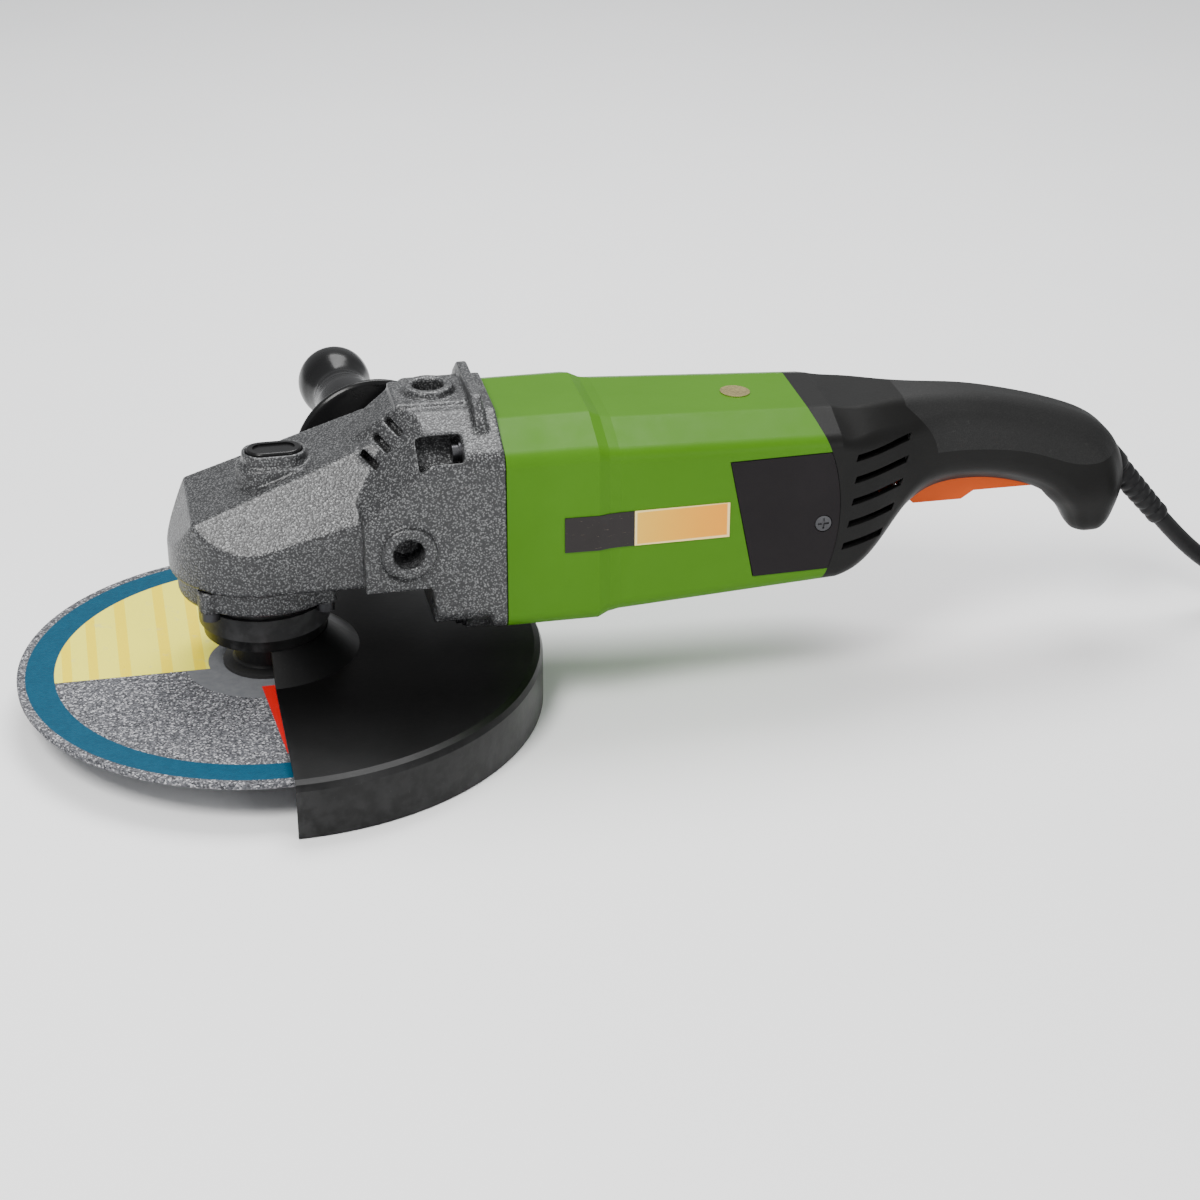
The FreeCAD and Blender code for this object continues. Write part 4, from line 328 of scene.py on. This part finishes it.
# printed fields of the disc
WEAVE_PITCH = 2.1 * MM
THREAD_WIDTH = 0.6 * MM
HUB_RING_R = 38.0 * MM
YELLOW_EDGE_Y = -4.8 * MM
YELLOW_REAR_X = 40.0 * MM
YELLOW_INNER_R = 27.5 * MM
WIDE_STRIPE = 2.6 * MM
NARROW_STRIPE = 2.2 * MM
STRIPES = [(-92.0 * MM, NARROW_STRIPE), (-80.0 * MM, NARROW_STRIPE), (-65.5 * MM, WIDE_STRIPE),
           (-46.5 * MM, WIDE_STRIPE), (-31.5 * MM, WIDE_STRIPE), (-14.0 * MM, WIDE_STRIPE),
           (4.0 * MM, WIDE_STRIPE), (22.0 * MM, WIDE_STRIPE)]
RED_FRONT_X = -7.4 * MM
RED_SLANT = 0.085
RED_EDGE_Y = -27.0 * MM
RED_OUTER_R = 90.0 * MM
BAND_INNER_R = 98.0 * MM
BARE_RIM = 3.8 * MM


def abrasive_disc(name):
    """Resin bonded grit, printed above with a blue-green band, a striped yellow label and a red one."""
    look = Look(name)
    x, y, z = look.axes()
    radius = look.math("SQRT", look.math("ADD", look.math("MULTIPLY", x, x), look.math("MULTIPLY", y, y)))
    rim, _side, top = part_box("cutting_disc")[1]
    upper = look.fade(z, top - 0.3 * MM, top - 0.1 * MM)
    grains = look.cells(1350.0, output="Color")
    grain_tone = look.add("ShaderNodeSeparateColor")
    look.feed(grain_tone.inputs[0], grains)
    grit = look.ramp(grain_tone.outputs[0], [(0.0, (0.030, 0.031, 0.035)), (0.35, (0.085, 0.087, 0.096)),
                                             (0.75, (0.155, 0.157, 0.170)), (0.97, (0.48, 0.48, 0.50))])
    weave_x = look.fade(look.math("PINGPONG", x, WEAVE_PITCH), 0.0, THREAD_WIDTH, 0.35, 0.0)
    weave_y = look.fade(look.math("PINGPONG", y, WEAVE_PITCH), 0.0, THREAD_WIDTH, 0.35, 0.0)
    grit = look.mix(look.math("MAXIMUM", weave_x, weave_y), grit, (0.06, 0.06, 0.064))
    # plain printed hub ring
    hub = look.fade(radius, HUB_RING_R + 0.5 * MM, HUB_RING_R)
    ring = look.ramp(look.noise(300.0, 3.0), [(0.3, (0.125, 0.13, 0.14)), (0.7, (0.15, 0.155, 0.165))])
    tone = look.mix(hub, grit, ring)
    # yellow half with parallel stripes
    scuff = look.fade(look.noise(130.0, 6.0, 0.7), 0.6, 0.72)
    beyond = look.fade(y, YELLOW_EDGE_Y - 0.3 * MM, YELLOW_EDGE_Y)
    yellow = look.math("MULTIPLY", beyond, look.fade(x, YELLOW_REAR_X + 0.2 * MM, YELLOW_REAR_X))
    yellow = look.math("MULTIPLY", yellow, look.between(radius, YELLOW_INNER_R, BAND_INNER_R))
    stripes = 0.0
    for place, half in STRIPES:
        stripes = look.math("MAXIMUM", stripes, look.between(x, place - half, place + half))
    ink = look.mix(stripes, (0.86, 0.80, 0.075), (0.86, 0.68, 0.002))
    ink = look.mix(look.math("MULTIPLY", scuff, 0.35), ink, (0.5, 0.49, 0.32))
    tone = look.mix(yellow, tone, ink)
    # red label below it
    edge = look.math("ADD", x, look.math("MULTIPLY", y, RED_SLANT))
    behind = look.fade(edge, RED_FRONT_X - 0.2 * MM, RED_FRONT_X)
    red = look.math("MULTIPLY", behind, look.fade(y, RED_EDGE_Y + 0.2 * MM, RED_EDGE_Y))
    red = look.math("MULTIPLY", red, look.fade(radius, RED_OUTER_R + 0.2 * MM, RED_OUTER_R))
    tone = look.mix(red, tone, look.mix(scuff, (0.62, 0.006, 0.008), (0.4, 0.012, 0.012)))
    # rim band
    band = look.between(radius, BAND_INNER_R, rim - BARE_RIM)
    wash = look.noise(420.0, 4.0, 0.7)
    teal = look.ramp(wash, [(0.3, (0.0, 0.044, 0.085)), (0.7, (0.0005, 0.064, 0.118))])
    tone = look.mix(band, tone, teal)
    tone = look.mix(look.math("SUBTRACT", 1.0, upper), tone, grit)
    printed = look.math("MULTIPLY", upper, look.math("MAXIMUM", band, look.math("MAXIMUM", yellow, red)))
    rough = look.fade(printed, 0.0, 1.0, 0.85, 0.5)
    height = look.math("MULTIPLY", grain_tone.outputs[1], look.fade(printed, 0.0, 1.0, 1.0, 0.35))
    look.bump((height, 0.00018), (look.noise(700.0, 2.0), 0.0001))
    return look.paint(tone, rough, 0.0, specular_ior_level=0.15)


DARK_SHARE = 0.42
FILM_BORDER = 1.2 * MM


def two_tone_film(name):
    """Printed film: black front third, then amber that pales towards the middle, in a thin light border."""
    look = Look(name)
    x, _y, z = look.axes()
    low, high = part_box("nameplate")
    split = low[0] + DARK_SHARE * (high[0] - low[0])
    amber = look.fade(x, split, split + 0.2 * MM)
    shade = look.fade(x, split, high[0], 0.0, 1.0)
    gold = look.ramp(shade,
                     [(0.0, (0.74, 0.42, 0.040)), (0.35, (0.76, 0.37, 0.020)), (0.7, (0.78, 0.32, 0.008)),
                             (1.0, (0.78, 0.29, 0.004))])
    field = look.math("MULTIPLY", look.between(x, split + FILM_BORDER, high[0] - FILM_BORDER),
                      look.between(z, low[2] + FILM_BORDER, high[2] - FILM_BORDER))
    border = look.math("SUBTRACT", 1.0, field)
    gold = look.mix(look.math("MULTIPLY", border, 0.75), gold, (0.86, 0.72, 0.34))
    scratches = look.fade(look.noise(260.0, 6.0, 0.75, 0.0, look.stretched(1.0, 1.0, 5.0)), 0.63, 0.7, 0.0,
                          0.3)
    base = look.mix(amber, (0.008, 0.005, 0.005), gold)
    base = look.mix(scratches, base, (0.4, 0.33, 0.22))
    look.bump((look.noise(500.0, 2.0), 0.00002))
    return look.paint(base, look.fade(look.noise(80.0, 4.0), 0.3, 0.7, 0.28, 0.42), 0.0, coat_weight=0.15,
                      coat_roughness=0.12, specular_ior_level=0.2)


def wound_copper(name):
    """Varnished enamelled wire, wound along the motor."""
    look = Look(name)
    wires = look.noise(900.0, 3.0, 0.6, 0.0, look.stretched(0.15, 1.0, 1.0))
    base = look.ramp(wires, [(0.3, (0.22, 0.07, 0.025)), (0.6, (0.50, 0.20, 0.08))])
    look.bump((wires, 0.0003))
    return look.paint(base, look.fade(wires, 0.3, 0.7, 0.25, 0.4), 0.7, coat_weight=0.5, coat_roughness=0.2)


SHEET_PITCH = 0.25 * MM


def stacked_sheet(name):
    """Edges of the stacked steel sheets in the motor, browned by heat."""
    look = Look(name)
    sheets = look.math("PINGPONG", look.axes()[0], SHEET_PITCH)
    rust = look.noise(220.0, 4.0, 0.6)
    base = look.ramp(rust, [(0.4, (0.16, 0.155, 0.15)), (0.75, (0.24, 0.19, 0.15))])
    look.bump((sheets, 0.4), (rust, 0.00005))
    return look.paint(base, look.fade(rust, 0.3, 0.7, 0.4, 0.55), 0.9)


def build_materials():
    return {
        "head_casting": hammered("hammer_finish"),
        "green_housing": moulded("green_nylon", (0.050, 0.158, 0.0034), 0.45, 1100.0, 0.00003, 0.05, 0.0,
                                 0.12),
        "dark_panel": moulded("dark_nylon_panel", (0.0062, 0.0045, 0.0055), 0.47, 1000.0, 0.00004, 0.08),
        "black_cover": moulded("black_nylon", (0.0052, 0.0051, 0.0048), 0.45, 1000.0, 0.00005, 0.08),
        "soft_rubber": grained_rubber("soft_grip_rubber", (0.0045, 0.0045, 0.0044)),
        "orange_plastic": moulded("orange_nylon", (0.50, 0.063, 0.002), 0.36, 1000.0, 0.00003, 0.06),
        "black_gloss": moulded("black_gloss_nylon", (0.0045, 0.0045, 0.0048), 0.27, 1400.0, 0.000012, 0.1,
                               0.15),
        "guard_paint": satin_paint("guard_stove_paint", (0.0028, 0.0028, 0.0029), 0.36),
        "collar_paint": satin_paint("collar_stove_paint", (0.020, 0.020, 0.0205), 0.40),
        "black_screws": metal("blackened_steel", (0.075, 0.075, 0.08), 0.38, (1.0, 1.0, 6.0)),
        "steel": metal("turned_steel", (0.55, 0.56, 0.57), 0.27, (6.0, 1.0, 6.0)),
        "gear_steel": metal("oiled_gear_steel", (0.36, 0.36, 0.365), 0.30, (3.0, 3.0, 1.0), stain=0.5),
        "bearing_steel": metal("polished_bearing_steel", (0.62, 0.63, 0.64), 0.18, (1.0, 1.0, 5.0)),
        "laminations": stacked_sheet("stacked_laminations"),
        "copper": wound_copper("varnished_copper"),
        "brass_parts": metal("plain_brass", (0.66, 0.46, 0.18), 0.30, (4.0, 1.0, 1.0)),
        "carbon": moulded("pressed_carbon", (0.030, 0.030, 0.031), 0.6, 2500.0, 0.00005, 0.3),
        "fan_plastic": moulded("grey_fan_nylon", (0.07, 0.07, 0.07), 0.5),
        "inner_plastic": moulded("inner_nylon", (0.05, 0.05, 0.05), 0.5),
        "disc_abrasive": abrasive_disc("bonded_abrasive"),
        "two_tone_label": two_tone_film("two_tone_film"),
        "gold_badge": metal("gold_foil", (0.74, 0.62, 0.26), 0.25, (2.0, 2.0, 2.0), 0.00004, 0.45),
        "cord_rubber": moulded("cord_sheath", (0.012, 0.012, 0.0125), 0.48, 1500.0, 0.00003, 0.15),
        "plug_rubber": moulded("plug_rubber", (0.016, 0.016, 0.0165), 0.5, 1300.0, 0.00004, 0.12),
        "tie_rubber": moulded("tie_rubber", (0.03, 0.03, 0.03), 0.55, 1300.0, 0.00004, 0.12),
    }


# ---- new pieces -------------------------------------------------------------------------------
def home(name):
    """The body that a CAD node belongs to."""
    for body, nodes in frame["record"]["behaviour"]["bodies"].items():
        if name in nodes:
            return body
    return "root"


def slot_of(name):
    return next(part["material_slot"] for part in frame["record"]["subparts"] if part["node"] == name)


def stand_in(piece, node, material):
    """piece takes the place, body and slot of one CAD node."""
    piece.data.materials.clear()
    piece.data.materials.append(material)
    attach(piece, home(node))
    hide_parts(node)


def link(name, data):
    piece = bpy.data.objects.new(name, data)
    bpy.context.scene.collection.objects.link(piece)
    return piece


WELD_REACH = 0.001 * MM
SMOOTH_SHARE = 0.5


def softened(node, voxel, rounds):
    """A copy of a CAD node with the rounded edges of a casting."""
    mesh = NODES[node].data.copy()
    welded = bmesh.new()
    welded.from_mesh(mesh)
    bmesh.ops.remove_doubles(welded, verts=welded.verts, dist=WELD_REACH)
    welded.to_mesh(mesh)
    welded.free()
    piece = link(node + "_skin", mesh)
    remesh = piece.modifiers.new("remesh", "REMESH")
    remesh.mode = "VOXEL"
    remesh.voxel_size = voxel
    smooth = piece.modifiers.new("smooth", "SMOOTH")
    smooth.factor = SMOOTH_SHARE
    smooth.iterations = rounds
    depsgraph = bpy.context.evaluated_depsgraph_get()
    result = bpy.data.meshes.new_from_object(piece.evaluated_get(depsgraph))
    piece.modifiers.clear()
    piece.data = result
    result.shade_smooth()
    return piece


CORD_D = 8.6 * MM
FLOOR_GAP = 0.05 * MM
BOOT_END = Vector((439.83, 0.0, 53.03)) * MM
LEAD = [BOOT_END, Vector((456.24, 0.0, 34.16)) * MM, Vector((478.94, 0.0, 17.66)) * MM,
        Vector((512.85, 0.0, 4.35)) * MM]
COIL_X = 536.0 * MM
COIL_MEAN_R = 51.0 * MM
COIL_PITCH = 8.8 * MM
LAYER_TURNS = 4.25
POINTS_A_TURN = 24
PLUG_BOOT_END_X = 494.0 * MM
PLUG_Z = 14.3 * MM


def cord_points():
    """Control points from the boot to the plug: the lead, two layers of the coil and the tail."""
    outer = COIL_MEAN_R + COIL_PITCH * LAYER_TURNS / 2
    centre = Vector((COIL_X, -outer, 0.0))
    low = CORD_D / 2 + FLOOR_GAP
    high = low + COIL_PITCH
    pull = 1 / math.cos(math.pi / POINTS_A_TURN)
    steps = round(POINTS_A_TURN * LAYER_TURNS)
    rise = POINTS_A_TURN // 6
    points = list(LEAD)

    def on_turn(turn, radius, height):
        angle = math.pi / 2 - 2 * math.pi * turn
        points.append(centre + Vector((radius * math.cos(angle) * pull, radius * math.sin(angle) * pull,
                                       height)))

    for i in range(steps + 1):
        turn = i / POINTS_A_TURN
        on_turn(turn, outer - COIL_PITCH * turn, low)
    inner = outer - COIL_PITCH * LAYER_TURNS
    for i in range(1, rise + 1):
        share = i / rise
        on_turn(LAYER_TURNS + i / POINTS_A_TURN, inner, low + COIL_PITCH * share * share * (3 - 2 * share))
    start = LAYER_TURNS + rise / POINTS_A_TURN
    back_turns = LAYER_TURNS + 1 - (start + LAYER_TURNS) % 1 + 0.5
    back_turns = back_turns - 1 if back_turns > LAYER_TURNS + 0.5 else back_turns
    back_steps = round(POINTS_A_TURN * back_turns)
    for i in range(1, back_steps + 1):
        share = i / back_steps
        on_turn(start + i / POINTS_A_TURN, inner + (outer - inner) * share, high)
    end_y = -2 * outer
    points.append(Vector((COIL_X - 14 * MM, end_y, high + 0.3 * MM)))
    points.append(Vector((COIL_X - 28 * MM, end_y, PLUG_Z)))
    points.append(Vector((PLUG_BOOT_END_X, end_y, PLUG_Z)))
    return points


def add_cord(material):
    data = bpy.data.curves.new("mains_lead", "CURVE")
    data.dimensions = "3D"
    data.bevel_depth = CORD_D / 2
    data.bevel_resolution = 6
    data.use_fill_caps = True
    spline = data.splines.new("NURBS")
    points = cord_points()
    spline.points.add(len(points) - 1)
    for target, place in zip(spline.points, points):
        target.co = (*place, 1.0)
    spline.order_u = 3
    spline.use_endpoint_u = True
    spline.resolution_u = 6
    piece = link("mains_lead", data)
    data.materials.append(material)
    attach(piece, home("power_cord"))
    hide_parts("power_cord", "cord_coil")
    line = line_of(piece)


def line_of(piece):
    """Points along a curve's own line."""
    bare = piece.data.copy()
    bare.bevel_depth = 0.0
    probe = bpy.data.objects.new("probe", bare)
    mesh = bpy.data.meshes.new_from_object(probe)
    points = [v.co.copy() for v in mesh.vertices]
    bpy.data.objects.remove(probe)
    bpy.data.meshes.remove(mesh)
    bpy.data.curves.remove(bare)
    return points


def lathe(name, profile, place, turn, sides=96):
    """A turned mesh from (radius, station) points, along local Z."""
    mesh = bpy.data.meshes.new(name)
    build = bmesh.new()
    rings = []
    for radius, station in profile:
        ring = []
        for i in range(sides):
            angle = 2 * math.pi * i / sides
            ring.append(build.verts.new((radius * math.cos(angle), radius * math.sin(angle), station)))
        rings.append(ring)
    for lower, upper in zip(rings, rings[1:]):
        for i in range(sides):
            j = (i + 1) % sides
            build.faces.new((lower[i], lower[j], upper[j], upper[i]))
    build.faces.new(list(reversed(rings[0])))
    build.faces.new(rings[-1])
    bmesh.ops.transform(build, matrix=Matrix.Translation(place) @ turn, verts=build.verts)
    bmesh.ops.recalc_face_normals(build, faces=build.faces)
    build.to_mesh(mesh)
    build.free()
    mesh.shade_smooth()
    return link(name, mesh)


SMALLEST_R = 0.01 * MM
SPAN_STEPS = 6


def rounded(points):
    """A smooth run through (radius, station) points; a point given twice stays a crease."""
    result = []
    count = len(points)
    for i in range(count - 1):
        a, b = Vector(points[i]), Vector(points[i + 1])
        if (b - a).length < 1e-9:
            continue
        before = Vector(points[i - 1]) if i > 0 else a
        after = Vector(points[i + 2]) if i + 2 < count else b
        for step in range(SPAN_STEPS):
            t = step / SPAN_STEPS
            place = 0.5 * ((2 * a) + (b - before) * t + (2 * before - 5 * a + 4 * b - after) * t * t
                           + (3 * a - before - 3 * b + after) * t * t * t)
            result.append((max(place.x, SMALLEST_R), place.y))
    result.append(tuple(points[-1]))
    return result


GRIP_ROOT = Vector((61.6, 48.5, 92.0)) * MM
GRIP_START = 3.1 * MM
GRIP_LEAN = math.radians(4.5)
GRIP_GROOVES = [30.0 * MM, 76.0 * MM, 81.0 * MM]
GROOVE_DEPTH = 0.45 * MM
GROOVE_HALF_WIDTH = 1.2 * MM


def add_side_grip(material):
    """Moulded side handle: bell flange, waist with shallow rings, and a round end knob."""
    profile = [(12.0, 0.0), (13.0, 0.0), (15.2, 2.2), (17.5, 5.2), (34.5, 8.2), (37.9, 9.6), (38.5, 11.2),
               (37.7, 12.6),
               (33.0, 14.2), (18.0, 17.2), (14.8, 22.0), (14.3, 27.0), (15.0, 37.0), (16.2, 48.0),
               (16.7, 58.0),
               (16.4, 68.0), (15.4, 79.0), (13.9, 87.5), (14.0, 91.0), (15.6, 96.0), (17.6, 101.5),
               (18.2, 107.0),
               (17.6, 112.0), (15.2, 116.0), (11.0, 117.8), (9.6, 117.8), (9.0, 117.0), (5.0, 116.9),
               (0.4, 116.9)]
    profile = [(r * MM, s * MM) for r, s in profile]
    smooth = rounded(profile)
    rings = []
    for radius, station in smooth:
        depth = 0.0
        for groove in GRIP_GROOVES:
            near = (station - groove) / GROOVE_HALF_WIDTH
            depth += GROOVE_DEPTH * math.exp(-near * near)
        rings.append((max(radius - depth, SMALLEST_R), station))
    turn = Matrix.Rotation(GRIP_LEAN, 4, "Z") @ Matrix.Rotation(-math.pi / 2, 4, "X")
    place = GRIP_ROOT + Vector((-math.sin(GRIP_LEAN), math.cos(GRIP_LEAN), 0.0)) * GRIP_START
    stand_in(lathe("side_grip", rings, place, turn), "side_handle_grip", material)


BOOT_START = Vector((409.0, 0.0, 88.5)) * MM
BOOT_GROOVES = 7
BOOT_ROOT_R = 6.4 * MM
BOOT_TIP_R = 5.5 * MM
BOOT_GROOVE_DEPTH = 0.75 * MM
BOOT_GROOVE_STEPS = 8


def add_boot(material):
    """Tapered strain relief with flexing grooves."""
    axis = BOOT_END - BOOT_START
    length = axis.length
    profile = [(4.4 * MM, -5.0 * MM), (6.4 * MM, -5.0 * MM), (6.4 * MM, 0.0), (7.0 * MM, 0.1 * MM),
               (7.0 * MM, 8.2 * MM),
               (6.5 * MM, 9.0 * MM)]
    first, last = 9.0 * MM, length - 3.0 * MM
    steps = BOOT_GROOVES * BOOT_GROOVE_STEPS
    for i in range(steps + 1):
        share = i / steps
        wave = 0.5 - 0.5 * math.cos(2 * math.pi * share * BOOT_GROOVES)
        radius = BOOT_ROOT_R + (BOOT_TIP_R - BOOT_ROOT_R) * share - BOOT_GROOVE_DEPTH * wave ** 3
        profile.append((radius, first + (last - first) * share))
    profile += [(5.6 * MM, length - 1.6 * MM), (5.2 * MM, length - 0.2 * MM), (4.35 * MM, length)]
    turn = axis.to_track_quat("Z", "Y").to_matrix().to_4x4()
    stand_in(lathe("ribbed_boot", profile, BOOT_START, turn, 64), "strain_relief", material)


# ---- scene ------------------------------------------------------------------------------------
# (node, size of the skin's cells, rounds of smoothing)
CASTINGS = [("gear_housing", 0.85 * MM, 5), ("bearing_box", 0.8 * MM, 3)]

materials = build_materials()
add_camera()
add_cord(materials["cord_rubber"])
add_light()
add_floor()

for name, node in NODES.items():
    node.data.materials.clear()
    node.data.materials.append(materials[slot_of(name)])

add_side_grip(materials["black_gloss"])
add_boot(materials["cord_rubber"])
for name, voxel, rounds in CASTINGS:
    stand_in(softened(name, voxel, rounds), name, materials["head_casting"])
